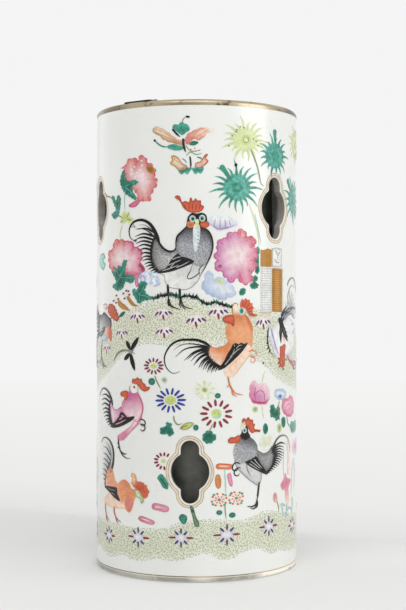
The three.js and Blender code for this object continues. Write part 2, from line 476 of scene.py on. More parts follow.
def drawFill(canvas, mark):
    grid = mark.get("grid", brush["grid"])
    spacing = brush["lobeSpacing"] if "lobes" in mark else min(grid, brush["spacing"])
    roundness = mark.get("roundness", brush["roundness"])
    outline = lineThrough(mark["outline"], spacing, True, roundness)
    if "lobes" in mark:
        outline = withLobes(outline, *mark["lobes"])
    low, high = outline.min(0), outline.max(0)
    across = numpy.arange(low[0], high[0] + grid, grid)
    upward = numpy.arange(low[1], high[1] + grid, grid * brush["rowPitch"])
    inner = numpy.array([(s + (row % 2) * grid / 2, z) for row, z in enumerate(upward) for s in across])
    inner = inner[insideOutline(inner, outline)]
    depth = distanceTo(inner, outline) if len(inner) else numpy.zeros(0)
    inner = inner[depth > brush["edgeGap"] * grid]
    corners = [Vector(point) for point in numpy.vstack([outline, inner])]
    edges = list(range(len(outline)))
    result = delaunay_2d_cdt(corners, [], [edges], 1, brush["tolerance"])
    places = numpy.array([tuple(corner) for corner in result[0]])
    faces = numpy.array(result[2])
    tones = tonesAcross(places, mark["colour"], mark.get("fade"))
    rims = tonesAcross(places, mark["rim"], mark.get("rimFade"))
    rimWidth = mark.get("rimWidth", brush["rimWidth"])
    share = 1 - numpy.clip(distanceTo(places, outline) / rimWidth, 0, 1)[:, None]
    tones = tones * (1 - share) + rims * share
    addSheet(canvas, places, faces, tones, mark, 1)
    if "line" in mark:
        colour, width = mark["line"]
        closed = list(mark["outline"]) + [mark["outline"][0]]
        level = mark.get("level", 1) + 1
        drawStroke(canvas, stroke(closed, width, colour, roundness=roundness, level=level, even=True))


# A stroke thins over the share tip at its far end; leaf thins both ends, and even neither
def drawStroke(canvas, mark):
    centre = lineThrough(mark["points"], brush["strokeSpacing"], False, mark.get("roundness", 1.0))
    along = numpy.gradient(centre, axis=0)
    along /= numpy.linalg.norm(along, axis=1)[:, None] + 1e-9
    side = numpy.column_stack([-along[:, 1], along[:, 0]])
    share = numpy.linspace(0, 1, len(centre))
    if mark.get("even"):
        width = numpy.ones(len(centre))
    elif mark.get("leaf"):
        least = strokeShape["leafEnds"]
        width = least + (1 - least) * numpy.sin(math.pi * share) ** strokeShape["leafPoint"]
    else:
        swelling = numpy.minimum(1, strokeShape["start"] + share / strokeShape["swell"])
        thinning = (strokeShape["end"] - share) / mark.get("tip", strokeShape["tip"])
        width = swelling * numpy.minimum(1, thinning) ** strokeShape["point"]
    half = (mark["width"] / 2 * width)[:, None]
    places = numpy.vstack([centre + side * half, centre - side * half])
    count = len(centre)
    faces = []
    for index in range(count - 1):
        faces.append((index, index + count, index + 1))
        faces.append((index + 1, index + count, index + count + 1))
    tones = numpy.tile(linear(mark["colour"]), (len(places), 1))
    if "towards" in mark:
        part = numpy.concatenate([share, share])[:, None]
        tones = tones * (1 - part) + linear(mark["towards"]) * part
    addSheet(canvas, places, numpy.array(faces), tones, mark, 3)


def drawDot(canvas, mark):
    across = mark["across"]
    wide, high = across if isinstance(across, tuple) else (across, across)
    rings = 2 if max(wide, high) > brush["ringedDot"] else 1
    count = brush["dotSides"]
    turn = math.radians(mark.get("turn", 0))
    places = [(0.0, 0.0)]
    for ring in range(1, rings + 1):
        for index in range(count):
            angle = 2 * math.pi * index / count
            x, y = wide / 2 * ring / rings * math.cos(angle), high / 2 * ring / rings * math.sin(angle)
            places.append((x * math.cos(turn) - y * math.sin(turn), x * math.sin(turn) + y * math.cos(turn)))
    faces = [(0, 1 + index, 1 + (index + 1) % count) for index in range(count)]
    for index in range(count * (rings - 1)):
        beside = (index + 1) % count
        faces.append((1 + index, 1 + count + index, 1 + beside))
        faces.append((1 + beside, 1 + count + index, 1 + count + beside))
    places = numpy.array(places) + numpy.array(mark["centre"])
    tones = numpy.tile(linear(mark["colour"]), (len(places), 1))
    if "heart" in mark:
        tones[0] = linear(mark["heart"])
        if rings == 2:
            tones[1 : 1 + count] = 0.6 * tones[0] + 0.4 * tones[-1]
    addSheet(canvas, places, numpy.array(faces), tones, mark, 3)


drawers = {"fill": drawFill, "stroke": drawStroke, "dot": drawDot}


def draw(canvas, marks):
    if isinstance(marks, list):
        for mark in marks:
            draw(canvas, mark)
    elif "kind" in marks:
        drawers[marks["kind"]](canvas, marks)
    else:
        draw(canvas, list(marks.values()))


# From (round the wall, up it, out of it) to a place in the scene
def wallPlaces(flat):
    turn = flat[:, 0] / outerRadius
    radius = (outerRadius + flat[:, 2]) * millimetre
    return numpy.column_stack([radius * numpy.sin(turn), -radius * numpy.cos(turn), flat[:, 1] * millimetre])


# Cloudy light and dark: colour in, colour out, for any finish that isn't perfectly even
def makeCloudGroup():
    group = bpy.data.node_groups.new("unevenTone", "ShaderNodeTree")
    inward = {"Colour": "Color", "Place": "Vector", "Size": "Float", "Darkest": "Float", "Lightest": "Float"}
    for name, kind in inward.items():
        group.interface.new_socket(name, in_out="INPUT", socket_type="NodeSocket" + kind)
    for name, kind in (("Colour", "Color"), ("Cloud", "Float")):
        group.interface.new_socket(name, in_out="OUTPUT", socket_type="NodeSocket" + kind)
    given = group.nodes.new("NodeGroupInput").outputs
    cloud = noise(group, given["Place"], given["Size"], Detail=5.0, Roughness=0.6)
    spread = mapped(group, cloud, 0.32, 0.68, given["Darkest"], given["Lightest"])
    tint = addNode(group, "ShaderNodeVectorMath", operation="SCALE", Scale=spread)
    group.links.new(given["Colour"], tint.inputs[0])
    feed(group, group.nodes.new("NodeGroupOutput"), Colour=tint.outputs["Vector"], Cloud=cloud)
    return group


cloudGroup = makeCloudGroup()


def clouded(tree, place, colour, size, darkest, lightest):
    given = {"Place": place, "Colour": colour, "Size": size, "Darkest": darkest, "Lightest": lightest}
    return addNode(tree, "ShaderNodeGroup", node_tree=cloudGroup, **given).outputs


def bumpFrom(tree, shader, height, depth):
    bump = addNode(tree, "ShaderNodeBump", Height=height, Distance=depth, Strength=1.0)
    feed(tree, shader, Normal=bump.outputs["Normal"])


# Thin clear glaze: even white with faint grey-green clouds, pits and kiln specks
glazeSetup = {
    "roughness": 0.2,
    "coat": 0.55,
    "coatRoughness": 0.16,
    "speckSize": 260.0,
    "speckColour": (0.50, 0.50, 0.46),
    "rippleSize": 45.0,
    "rippleDepth": 0.00012,
}


def makeGlaze(name, colour, cloudSize, darkest):
    material, tree, shader, place = newMaterial(
        name, Roughness=glazeSetup["roughness"], Coat_Weight=glazeSetup["coat"],
        Coat_Roughness=glazeSetup["coatRoughness"],
    )
    clouds = clouded(tree, place, colour, cloudSize, darkest, 1.02)
    cells = addNode(tree, "ShaderNodeTexVoronoi", Vector=place, Scale=glazeSetup["speckSize"])
    near = mapped(tree, cells.outputs["Distance"], 0.10, 0.05)
    rare = mapped(tree, noise(tree, place, 60.0, Detail=2.0), 0.62, 0.68)
    specks = combined(tree, "MULTIPLY", near, rare)
    feed(tree, shader, Base_Color=mixed(tree, specks, clouds["Colour"], glazeSetup["speckColour"]))
    ripple = noise(tree, place, glazeSetup["rippleSize"], Detail=3.0)
    bumpFrom(tree, shader, ripple, glazeSetup["rippleDepth"])
    return material


# Overglaze enamels: the painted tone, cloudy as from a brush. The feather finish adds
# fine dark scales, and the ground finish the green flecks of the painted bank.
enamelSetup = {
    "plain": {"clouds": 320.0, "darkest": 0.84, "lightest": 1.10, "roughness": 0.24},
    "feather": {"clouds": 900.0, "darkest": 0.70, "lightest": 1.16, "roughness": 0.3},
    "ground": {"clouds": 120.0, "darkest": 0.95, "lightest": 1.03, "roughness": 0.26},
    "leafy": {"clouds": 420.0, "darkest": 0.55, "lightest": 1.5, "roughness": 0.22},
}
enamelGloss = {"Coat_Weight": 0.15, "Coat_Roughness": 0.08, "Specular_IOR_Level": 0.3}
brushDepth = 0.00008
scaleMarks = {
    "feather": {"size": 1.15, "reach": (0.46, 0.16), "colour": (0.05, 0.05, 0.06), "share": 0.62},
    "ground": {"size": 0.78, "reach": (0.34, 0.18), "colour": (0.15, 0.20, 0.12), "share": 0.68},
}


def makeEnamel(name):
    setup = enamelSetup[name]
    material, tree, shader, place = newMaterial(name + "Enamel", Roughness=setup["roughness"], **enamelGloss)
    paint = addNode(tree, "ShaderNodeAttribute", attribute_name="paint").outputs["Color"]
    clouds = clouded(tree, place, paint, setup["clouds"], setup["darkest"], setup["lightest"])
    colour = clouds["Colour"]
    if name in scaleMarks:
        marks = scaleMarks[name]
        onWall = addNode(tree, "ShaderNodeAttribute", attribute_name="onWall").outputs["Vector"]
        look = {"voronoi_dimensions": "2D", "Vector": onWall, "Scale": marks["size"]}
        cells = addNode(tree, "ShaderNodeTexVoronoi", **look)
        near = mapped(tree, cells.outputs["Distance"], *marks["reach"], 0.0, marks["share"])
        colour = mixed(tree, near, colour, marks["colour"])
    feed(tree, shader, Base_Color=colour)
    bumpFrom(tree, shader, clouds["Cloud"], brushDepth)
    return material


# Worn gilding over a brown ground, duller and brighter in clouds
giltSetup = {
    "gold": (0.37, 0.31, 0.205),
    "worn": (0.15, 0.11, 0.075),
    "dull": 0.5,
    "bright": 1.35,
    "roughness": 0.27,
    "metallic": 0.82,
    "depth": 0.00006,
}


def makeGilding(name, gold, worn, metallic):
    material, tree, shader, place = newMaterial(name, Roughness=giltSetup["roughness"], Metallic=metallic)
    dull, bright = ([giltSetup[key] * tone for tone in gold] for key in ("dull", "bright"))
    rubbed = mapped(tree, noise(tree, place, 26.0, Detail=1.0), 0.42, 0.6)
    wear = noise(tree, place, 150.0, Detail=6.0, Roughness=0.65)
    gilt = mixed(tree, rubbed, dull, bright)
    feed(tree, shader, Base_Color=mixed(tree, mapped(tree, wear, 0.56, 0.66), gilt, worn))
    bumpFrom(tree, shader, wear, giltSetup["depth"])
    return material


# Dull sheet metal and wire, dark grey with lighter rubbed clouds
metalSetup = {
    "liner": {"dark": (0.075, 0.078, 0.07), "light": (0.21, 0.215, 0.185), "clouds": 55.0, "metallic": 0.3},
    "wire": {"dark": (0.013, 0.01, 0.008), "light": (0.05, 0.04, 0.03), "clouds": 160.0, "metallic": 0.55},
}
metalRoughness = (0.38, 0.7)  # at the darkest and the lightest of its clouds
metalDepth = 0.0003


def makeMetal(name):
    setup = metalSetup[name]
    material, tree, shader, place = newMaterial(name + "Metal", Metallic=setup["metallic"])
    clouds = noise(tree, place, setup["clouds"], Detail=8.0, Roughness=0.62)
    colour = mixed(tree, mapped(tree, clouds, 0.36, 0.7), setup["dark"], setup["light"])
    feed(tree, shader, Base_Color=colour, Roughness=mapped(tree, clouds, 0.0, 1.0, *metalRoughness))
    bumpFrom(tree, shader, clouds, metalDepth)
    return material


glaze = makeGlaze("whiteGlaze", (0.80, 0.81, 0.775), 14.0, 0.965)
# Painted shade: the inner faces of the window cuts, white porcelain, get a dark grey glaze
shadedCutGlaze = makeGlaze("cutShadeGlaze", (0.42, 0.40, 0.36), 140.0, 0.7)
edgeGlaze = makeGlaze("creamGlaze", (0.80, 0.76, 0.67), 90.0, 0.86)
enamels = [makeEnamel(name) for name in enamelSetup]
feather, ground, leafy = 1, 2, 3  # finishes of a mark, plain enamel being 0
gilding = makeGilding("wornGilding", giltSetup["gold"], giltSetup["worn"], giltSetup["metallic"])
footGilding = makeGilding("footGilding", (0.44, 0.35, 0.24), (0.62, 0.56, 0.45), 0.1)
bareFoot = makeGilding("bareFoot", (0.74, 0.71, 0.61), (0.60, 0.56, 0.46), 0.0)
metals = {name: makeMetal(name) for name in metalSetup}
print("finishes made")


def deselectAll():
    if bpy.context.object and bpy.context.object.mode != "OBJECT":
        bpy.ops.object.mode_set(mode="OBJECT")
    bpy.ops.object.select_all(action="DESELECT")


def activate(piece):
    deselectAll()
    piece.select_set(True)
    bpy.context.view_layer.objects.active = piece


def meshObject(name, places, faces, edges=()):
    mesh = bpy.data.meshes.new(name)
    corners = [tuple(place) for place in places]
    mesh.from_pydata(corners, list(edges), [tuple(map(int, face)) for face in faces])
    piece = bpy.data.objects.new(name, mesh)
    bpy.context.scene.collection.objects.link(piece)
    return piece


def applyModifier(piece, kind, **settings):
    activate(piece)
    modifier = piece.modifiers.new(kind.lower(), kind)
    for name, value in settings.items():
        setattr(modifier, name, value)
    bpy.ops.object.modifier_apply(modifier=modifier.name)


# Joins corners closer than the given distance, and turns the faces outwards
def cleanMesh(piece, join=0.0, flat=0.0):
    activate(piece)
    bpy.ops.object.mode_set(mode="EDIT")
    bpy.ops.mesh.select_all(action="SELECT")
    if join:
        bpy.ops.mesh.remove_doubles(threshold=join)
    if flat:
        bpy.ops.mesh.dissolve_limited(angle_limit=math.radians(flat))
    bpy.ops.mesh.normals_make_consistent(inside=False)
    bpy.ops.object.mode_set(mode="OBJECT")


def smoothByAngle(piece, degrees):
    activate(piece)
    bpy.ops.object.shade_smooth_by_angle(angle=math.radians(degrees))


def finishPiece(piece, body, finishes, replaced=None):
    for finish in finishes:
        piece.data.materials.append(finish)
    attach(piece, body)
    if replaced:
        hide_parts(replaced)


# A profile of (radius, height) in millimetres turned round the stand's axis
def turnedPiece(name, profile, steps, closed=False):
    places = [(radius * millimetre, 0, height * millimetre) for radius, height in profile]
    count = len(places)
    edges = [(index, index + 1) for index in range(count - 1)]
    if closed:
        edges.append((count - 1, 0))
    piece = meshObject(name, places, [], edges)
    activate(piece)
    bpy.ops.object.mode_set(mode="EDIT")
    bpy.ops.mesh.select_all(action="SELECT")
    bpy.ops.mesh.spin(steps=steps, angle=2 * math.pi, center=(0, 0, 0), axis=(0, 0, 1))
    bpy.ops.object.mode_set(mode="OBJECT")
    cleanMesh(piece, 0.00002)
    return piece


def arcPoints(centre, radius, start, end, steps):
    return [
        (
            centre[0] + radius * math.cos(math.radians(start + (end - start) * index / steps)),
            centre[1] + radius * math.sin(math.radians(start + (end - start) * index / steps)),
        )
        for index in range(steps + 1)
    ]


# Porcelain body
bodySetup = {
    "wall": 5.0,
    "baseTop": 9.0,
    "baseUnderside": 3.5,
    "footWidth": 6.0,
    "footBevel": (1.1, 2.4),
    "footRound": 0.5,
    "innerCorner": 3.0,
    "ringSpacing": 7.0,
    "turnSteps": 288,
    "cutFrom": 40,  # the faces of the window cuts lie between these heights
    "cutTo": 245,
    "cutInside": 0.3,  # and this far from the inner and the outer face
    "cutOutside": 0.03,
    "edgeDepth": 0.6,
    "smoothAngle": 24,
}


def bodyProfile():
    inner = outerRadius - bodySetup["wall"]
    lip = bodySetup["wall"] / 2
    bevelWidth, bevelHeight = bodySetup["footBevel"]
    footOuter = outerRadius - bevelWidth
    footInner = footOuter - bodySetup["footWidth"]
    rounded = bodySetup["footRound"]
    corner = bodySetup["innerCorner"]
    rings = round((lipHeight - lip - bevelHeight) / bodySetup["ringSpacing"])
    rise = (lipHeight - lip - bevelHeight) / rings
    outside = [(outerRadius, bevelHeight + rise * index) for index in range(rings)]
    top = lipHeight - lip
    bottom = bodySetup["baseTop"] + corner
    inside = [(inner, top + (bottom - top) * index / 12) for index in range(1, 12)]
    return [
        (0, bodySetup["baseUnderside"]),
        (footInner - 2 * rounded, bodySetup["baseUnderside"]),
        (footInner, bodySetup["baseUnderside"] - 2 * rounded),
        *arcPoints((footInner + rounded, rounded), rounded, 180, 270, 4),
        *arcPoints((footOuter - rounded, rounded), rounded, 270, 350, 4),
        *outside,
        *arcPoints((outerRadius - lip, top), lip, 0, 180, 16),
        *inside,
        *arcPoints((inner - corner, bottom), corner, 0, -90, 6),
        (0, bodySetup["baseTop"]),
    ]


windowSetup = {
    "middle": 11.0,
    "end": 5.0,
    "endOffset": 12.9,
    "notch": 1.6,
    "grow": (1.4, 0.4, 1.2),  # at the inner face, below the rounded edge and at the outer face
    "edgeRound": 0.65,
    "roundSteps": 7,
    "lobeSteps": 14,
    "notchSteps": 6,
    "rows": ((48.6, 219.0), (-3.7, 64.3)),  # angle from the front and height of each row's first
    "inRow": 3,
}


# The outline of a window about its centre, moved outwards by grow
def windowOutline(grow, soften=0.0):
    notch = windowSetup["notch"] + soften
    across = windowSetup["end"] + notch
    along = math.sqrt((windowSetup["middle"] + notch) ** 2 - across**2)
    turn = math.degrees(math.atan2(along, across))
    middle, end, hollow = windowSetup["middle"] + grow, windowSetup["end"] + grow, notch - grow
    lobe, bend = windowSetup["lobeSteps"], windowSetup["notchSteps"]
    half = [
        *arcPoints((0, 0), middle, -turn, turn, lobe)[:-1],
        *arcPoints((across, along), hollow, turn + 180, 180, bend),
        *arcPoints((0, windowSetup["endOffset"]), end, 0, 180, lobe),
        *arcPoints((-across, along), hollow, 0, -turn, bend)[:-1],
    ]
    return half + [(-s, -z) for s, z in half]


def windowPlaces():
    step = 2 * halfTurn / windowSetup["inRow"]
    for angle, height in windowSetup["rows"]:
        for index in range(windowSetup["inRow"]):
            s = math.radians(angle) * outerRadius + step * index
            yield (s if s < halfTurn else s - 2 * halfTurn), height


# All six windows as one closed cutter: rings of the outline from inside the wall outwards
def windowCutter():
    rounding, steps = windowSetup["edgeRound"], windowSetup["roundSteps"]
    inside, middle, outside = windowSetup["grow"]
    stations = [(-bodySetup["wall"] - 3, inside)]
    for index in range(steps + 1):
        angle = math.pi / 2 * index / steps
        grow = middle + (outside - middle) * (1 - math.cos(angle))
        stations.append((-rounding * (1 - math.sin(angle)), grow))
    stations.append((3, outside))
    places, faces = [], []
    for s, z in windowPlaces():
        start = len(places)
        count = len(windowOutline(0))
        for lift, grow in stations:
            for x, y in windowOutline(grow):
                places.append((s + x, z + y, lift))
        for ring in range(len(stations) - 1):
            for index in range(count):
                here = start + ring * count + index
                beside = start + ring * count + (index + 1) % count
                faces.append((here, beside, beside + count, here + count))
        faces.append(tuple(start + index for index in reversed(range(count))))
        last = start + (len(stations) - 1) * count
        faces.append(tuple(last + index for index in range(count)))
    cutter = meshObject("windowCutter", wallPlaces(numpy.array(places)), faces)
    cleanMesh(cutter)
    return cutter


def makeBody():
    body = turnedPiece("porcelainBody", bodyProfile(), bodySetup["turnSteps"])
    cutter = windowCutter()
    applyModifier(body, "BOOLEAN", object=cutter, operation="DIFFERENCE", solver="EXACT")
    bpy.data.objects.remove(cutter)
    smoothByAngle(body, bodySetup["smoothAngle"])
    finishPiece(body, "stand", [glaze, shadedCutGlaze, edgeGlaze], "porcelain_body")
    inmost = outerRadius - bodySetup["wall"] + bodySetup["cutInside"]
    outmost = outerRadius - bodySetup["cutOutside"]
    # Cut faces deeper than edgeDepth take the dark glaze of painted shade, and the outer edge takes the cream
    # one
    for face in body.data.polygons:
        radius = math.hypot(face.center.x, face.center.y) / millimetre
        cut = bodySetup["cutFrom"] < face.center.z / millimetre < bodySetup["cutTo"]
        if cut and inmost < radius < outmost:
            face.material_index = 1 if radius < outerRadius - bodySetup["edgeDepth"] else 2
    return body


body = makeBody()
print("body turned and cut:", len(body.data.polygons), "faces")


# Gilding on the lip, thin bands round the windows and the bare line at the foot
trimSetup = {
    "lipDrop": 3.6,
    "innerDrop": 2.6,
    "sheet": 0.08,
    "footLine": (3.3, 3.9),
    "footRim": (0.7, 0.5),  # from this height to so far above the bevel
    "border": (  # how far out each edge is, how soft, and its tone
        (1.4, 1.5, "deepGilt"), (1.75, 2.0, "gilt"), (2.6, 3.2, "cream"), (3.0, 4.0, "deepGilt"),
        (3.4, 5.0, "cream"),
    ),
    "borderWave": 0.3,
}


def makeTrim():
    lip = bodySetup["wall"] / 2
    centre = (outerRadius - lip, lipHeight - lip)
    sheet = trimSetup["sheet"]
    low = lipHeight - trimSetup["lipDrop"]
    inner = lipHeight - trimSetup["innerDrop"] - lip
    outer = [(outerRadius + sheet, low), *arcPoints(centre, lip + sheet, 0, 180, 20)]
    outer.append((outerRadius - 2 * lip - sheet, inner))
    under = [(outerRadius - 2 * lip + sheet, inner), *arcPoints(centre, lip - sheet, 180, 0, 20)]
    under.append((outerRadius - sheet, low))
    line = [(outerRadius + sheet, height) for height in trimSetup["footLine"]]
    bevelWidth, bevelHeight = bodySetup["footBevel"]
    start, past = trimSetup["footRim"]
    rim = [(outerRadius - bevelWidth * (1 - start / bevelHeight) + sheet, start)]
    rim += [(outerRadius + sheet, bevelHeight), (outerRadius + sheet, bevelHeight + past)]
    lineBack = [(radius - 2 * sheet, height) for radius, height in reversed(line)]
    rimBack = [(radius - 2 * sheet, height) for radius, height in reversed(rim)]
    for name, profile, finish in (
        ("lipGilding", outer + under, gilding),
        ("footLine", line + lineBack, footGilding),
        ("footRim", rim + rimBack, bareFoot),
    ):
        trim = turnedPiece(name, profile, bodySetup["turnSteps"], True)
        smoothByAngle(trim, brush["smoothAngle"])
        finishPiece(trim, "stand", [finish])


makeTrim()


# Turns the marks on a canvas into one raised enamel piece on the wall
def paintPiece(name, marks, shift=0.0, mirror=None, base=0):
    canvas = newCanvas(shift, mirror, base)
    draw(canvas, marks)
    layPiece(name, canvas)


def layPiece(name, canvas):
    flat = numpy.vstack(canvas["points"])
    faces = numpy.vstack(canvas["faces"])
    piece = meshObject(name, wallPlaces(flat), faces)
    tones = numpy.vstack(canvas["tones"])
    paint = piece.data.color_attributes.new("paint", "FLOAT_COLOR", "POINT")
    paint.data.foreach_set("color", numpy.column_stack([tones, numpy.ones(len(tones))]).ravel())
    for enamel in enamels:
        piece.data.materials.append(enamel)
    piece.data.polygons.foreach_set("material_index", canvas["finishes"])
    onWall = piece.data.attributes.new("onWall", "FLOAT_VECTOR", "POINT")
    onWall.data.foreach_set("vector", flat.ravel())
    unwrapPiece(piece, flat, faces, numpy.concatenate(canvas["levels"]))
    applyModifier(piece, "SOLIDIFY", thickness=brush["thickness"] * millimetre, offset=-1.0)
    smoothByAngle(piece, brush["smoothAngle"])
    finishPiece(piece, "stand", [])


# One tile of the map for each level of enamel, so that nothing lies over anything else
def unwrapPiece(piece, flat, faces, levels):
    low = flat[:, :2].min(0) - 1
    size = (flat[:, :2].max(0) + 1 - low).max()
    used = sorted(set(levels.tolist()))
    side = math.ceil(math.sqrt(len(used)))
    order = numpy.array([used.index(level) for level in levels])
    tile = numpy.column_stack([order % side, order // side]) / side
    corners = (flat[:, :2][faces] - low) / size / side + tile[:, None]
    layer = piece.data.uv_layers.new(name="OFBake")
    layer.data.foreach_set("uv", corners.ravel())


def makeBorders():
    random.seed(7)
    rings = [windowOutline(grow, soften) for grow, soften, tone in trimSetup["border"]]
    count = len(rings[0])
    tones = numpy.repeat([linear(tone) for grow, soften, tone in trimSetup["border"]], count, axis=0)
    canvas = newCanvas()
    for s, z in windowPlaces():
        wave = [random.uniform(-1, 1) * trimSetup["borderWave"] for _ in range(count)]
        places, faces = [], []
        for ring in rings:
            for index, (x, y) in enumerate(ring):
                out = (wave[index] + wave[(index + 1) % count]) / 2 / math.hypot(x, y)
                places.append((s + x * (1 + out), z + y * (1 + out)))
        for ring in range(len(rings) - 1):
            for index in range(count):
                here = ring * count + index
                beside = ring * count + (index + 1) % count
                faces += [(here, here + count, beside + count), (here, beside + count, beside)]
        addSheet(canvas, numpy.array(places), numpy.array(faces), tones, {}, 0)
    layPiece("windowBorders", canvas)


makeBorders()
print("gilding and borders laid")


# Liner: sheet wall, dished bottom, wired rim, seam, and the wire bails on their brackets
linerSetup = {
    "radius": 47.4,
    "sheet": 0.9,
    "foot": 9.3,
    "top": 275.1,
    "bottomRadius": 46.2,
    "bottomTop": 13.3,
    "bottomSheet": 1.0,
    "rimCentre": (46.95, 277.0),
    "rimWire": 1.6,
    "turnSteps": 144,
    "smoothAngle": 30,
}
# How far the edges of the sheet parts are broken, and the angle up to which they shade smooth
sheetSetup = {"seamEdge": 0.25, "bracketEdge": 0.12, "smoothAngle": 35}
bailSetup = {
    "angles": {"front": -36, "back": 144},
    "pivot": (50.65, 281.6),  # distance from the axis and height
    "wire": 0.7,
    "endAt": 3.5,
    "armAt": 9.6,
    "reach": 9.55,
    "drop": 0.4,
    "bend": 2.0,
    "bendSteps": 8,
    "smoothAngle": 40,
}


def makeLiner():
    outer, sheet = linerSetup["radius"], linerSetup["sheet"]
    foot, top, steps = linerSetup["foot"], linerSetup["top"], linerSetup["turnSteps"]
    profile = [(outer, foot), (outer, top), (outer - sheet, top), (outer - sheet, foot)]
    wall = turnedPiece("linerWall", profile, steps, True)
    disc, dished, thin = linerSetup["bottomRadius"], linerSetup["bottomTop"], linerSetup["bottomSheet"]
    bottomProfile = [
        (0, dished - thin),
        *arcPoints((disc - 2 * thin, dished - 2 * thin), thin, 90, 0, 4),
        (disc - thin, foot),
        (disc, foot),
        *arcPoints((disc - 2 * thin, dished - 2 * thin), 2 * thin, 0, 90, 6),
        (0, dished),
    ]
    bottom = turnedPiece("linerBottom", bottomProfile, steps)
    wire = arcPoints(linerSetup["rimCentre"], linerSetup["rimWire"], 0, 342, 19)
    rim = turnedPiece("linerRim", wire, steps, True)
    for piece, replaced in ((wall, "liner_wall"), (bottom, "liner_bottom"), (rim, "liner_rim_wire")):
        smoothByAngle(piece, linerSetup["smoothAngle"])
        finishPiece(piece, "liner", [metals["liner"]], replaced)


# Sheet parts keep their modelled shape, with their flats joined and their edges broken
def bevelledCopy(name, replaced, finish, width):
    source = nodes[replaced]
    piece = bpy.data.objects.new(name, source.data.copy())
    piece.data.materials.clear()
    bpy.context.scene.collection.objects.link(piece)
    cleanMesh(piece, 0.00001, 1)
    applyModifier(piece, "BEVEL", width=width * millimetre, segments=2, limit_method="ANGLE")
    smoothByAngle(piece, sheetSetup["smoothAngle"])
    finishPiece(piece, "liner", [finish], replaced)


# The wire: in at one eye, out along an arm, over the crossbar and back to the other eye
def bailPath():
    end, arm, reach, bend = (bailSetup[key] for key in ("endAt", "armAt", "reach", "bend"))
    half = [Vector(corner) for corner in ((end, 0), (arm, 0), (arm, -reach))]
    corners = [Vector((-c.x, c.y)) for c in half] + half[::-1]
    path = [corners[0]]
    for index in range(1, len(corners) - 1):
        corner = corners[index]
        start = corner + (corners[index - 1] - corner).normalized() * bend
        leave = corner + (corners[index + 1] - corner).normalized() * bend
        for step in range(bailSetup["bendSteps"] + 1):
            t = step / bailSetup["bendSteps"]
            path.append((1 - t) ** 2 * start + 2 * t * (1 - t) * corner + t**2 * leave)
    return path + [corners[-1]]


def makeBail(place):
    radius, height = bailSetup["pivot"]
    slope = math.asin(bailSetup["drop"] / bailSetup["reach"])
    turn = math.radians(bailSetup["angles"][place])
    curve = bpy.data.curves.new("liftingHandle" + place.title(), "CURVE")
    curve.dimensions = "3D"
    curve.bevel_depth = bailSetup["wire"] * millimetre
    curve.bevel_resolution = 4
    curve.use_fill_caps = True
    path = bailPath()
    spline = curve.splines.new("POLY")
    spline.points.add(len(path) - 1)
    for point, (across, out) in zip(spline.points, path):
        x, y = across, out * math.cos(slope) - radius
        z = height + out * math.sin(slope)
        place3d = (x * math.cos(turn) - y * math.sin(turn), x * math.sin(turn) + y * math.cos(turn), z)
        point.co = (*(value * millimetre for value in place3d), 1)
    bail = bpy.data.objects.new(curve.name, curve)
    bpy.context.scene.collection.objects.link(bail)
    activate(bail)
    bpy.ops.object.convert(target="MESH")
    bail = bpy.context.object
    cleanMesh(bail, 0.000001)
    smoothByAngle(bail, bailSetup["smoothAngle"])
    finishPiece(bail, place + "_handle", [metals["wire"]], "lifting_handle_" + place)


makeLiner()
bevelledCopy("linerSeam", "liner_side_seam", metals["liner"], sheetSetup["seamEdge"])
for place in bailSetup["angles"]:
    bracket = "handleBracket" + place.title()
    width = sheetSetup["bracketEdge"]
    bevelledCopy(bracket, "handle_bracket_" + place, metals["wire"], width)
    makeBail(place)
print("liner and handles made")


# Painted banks: a pale green slope with green flecks and small rayed flowers
upperBank = {
    "slope": fill([
        (-98.6, 136), (-84, 142), (-70, 147), (-58, 152), (-47, 157), (-37, 161), (-27, 164.5), (-14, 166),
        (0, 165.5), (8, 162.5), (20, 160.3), (34, 160), (50, 157.5), (62, 155), (76, 149), (90, 141.5),
        (98.6, 136), (98.6, 108), (84, 109.5), (72, 111.5), (63, 114), (53, 118), (46, 123.5), (38, 128),
        (25, 134), (10, 137.6), (-5, 138), (-18, 137.4), (-30, 138.6), (-42, 135), (-52, 129), (-62, 122),
        (-70, 117.5), (-84, 111.5), (-98.6, 108),
    ], "sage", "paleSage", rimWidth=5, level=0, finish=ground, grid=2.4, roundness=0.85),
}


# Small flowers of short rays: one fanned below its top, one all round
starRays = (
    ((-2.9, -1.0), (-5.3, -3.6), "purple"),
    ((-1.2, -0.6), (-2.4, -3.4), "purple"),
    ((-0.2, -2.6), (0.5, -6.2), "wine"),
    ((1.1, -1.0), (2.9, -3.2), "navy"),
    ((3.0, -0.8), (5.7, -2.6), "purple"),
)


def halfStar(s, z, size=1.0):
    marks = [dot((s, z - 1.8 * size), (10 * size, 5.4 * size), "blush", heart="white", level=1)]
    for start, end, colour in starRays:
        ends = [(s + size * x, z + size * y) for x, y in (start, end)]
        marks.append(stroke(ends, 1.25 * size, colour, level=2, tip=0.5))
    return marks


def fullStar(s, z, reach=7.0):
    return [
        dot((s, z), (8.5, 5.5), "lilac", heart="white", level=1),
        rays((s, z), 0.42 * reach, reach, 2, 1.2, "wine", level=2),
        rays((s, z), 0.32 * reach, 0.78 * reach, 2, 1.2, "purple", start=90, level=2),
        rays((s, z), 0.3 * reach, 0.72 * reach, 4, 1.2, "navy", start=45, level=2),
    ]


upperBank["stars"] = [
    halfStar(s, z, size)
    for s, z, size in (
        (-37, 156.4, 1), (-19.8, 158.4, 1), (-0.5, 154.6, 1.1), (-19.3, 147.8, 1), (-49.7, 146.6, 0.95),
        (12.6, 159.4, 1.1), (42.6, 153.2, 1.1), (-66, 137, 0.9), (-84, 128, 0.9), (69, 140, 0.9),
        (84, 127, 0.9),
    )
]

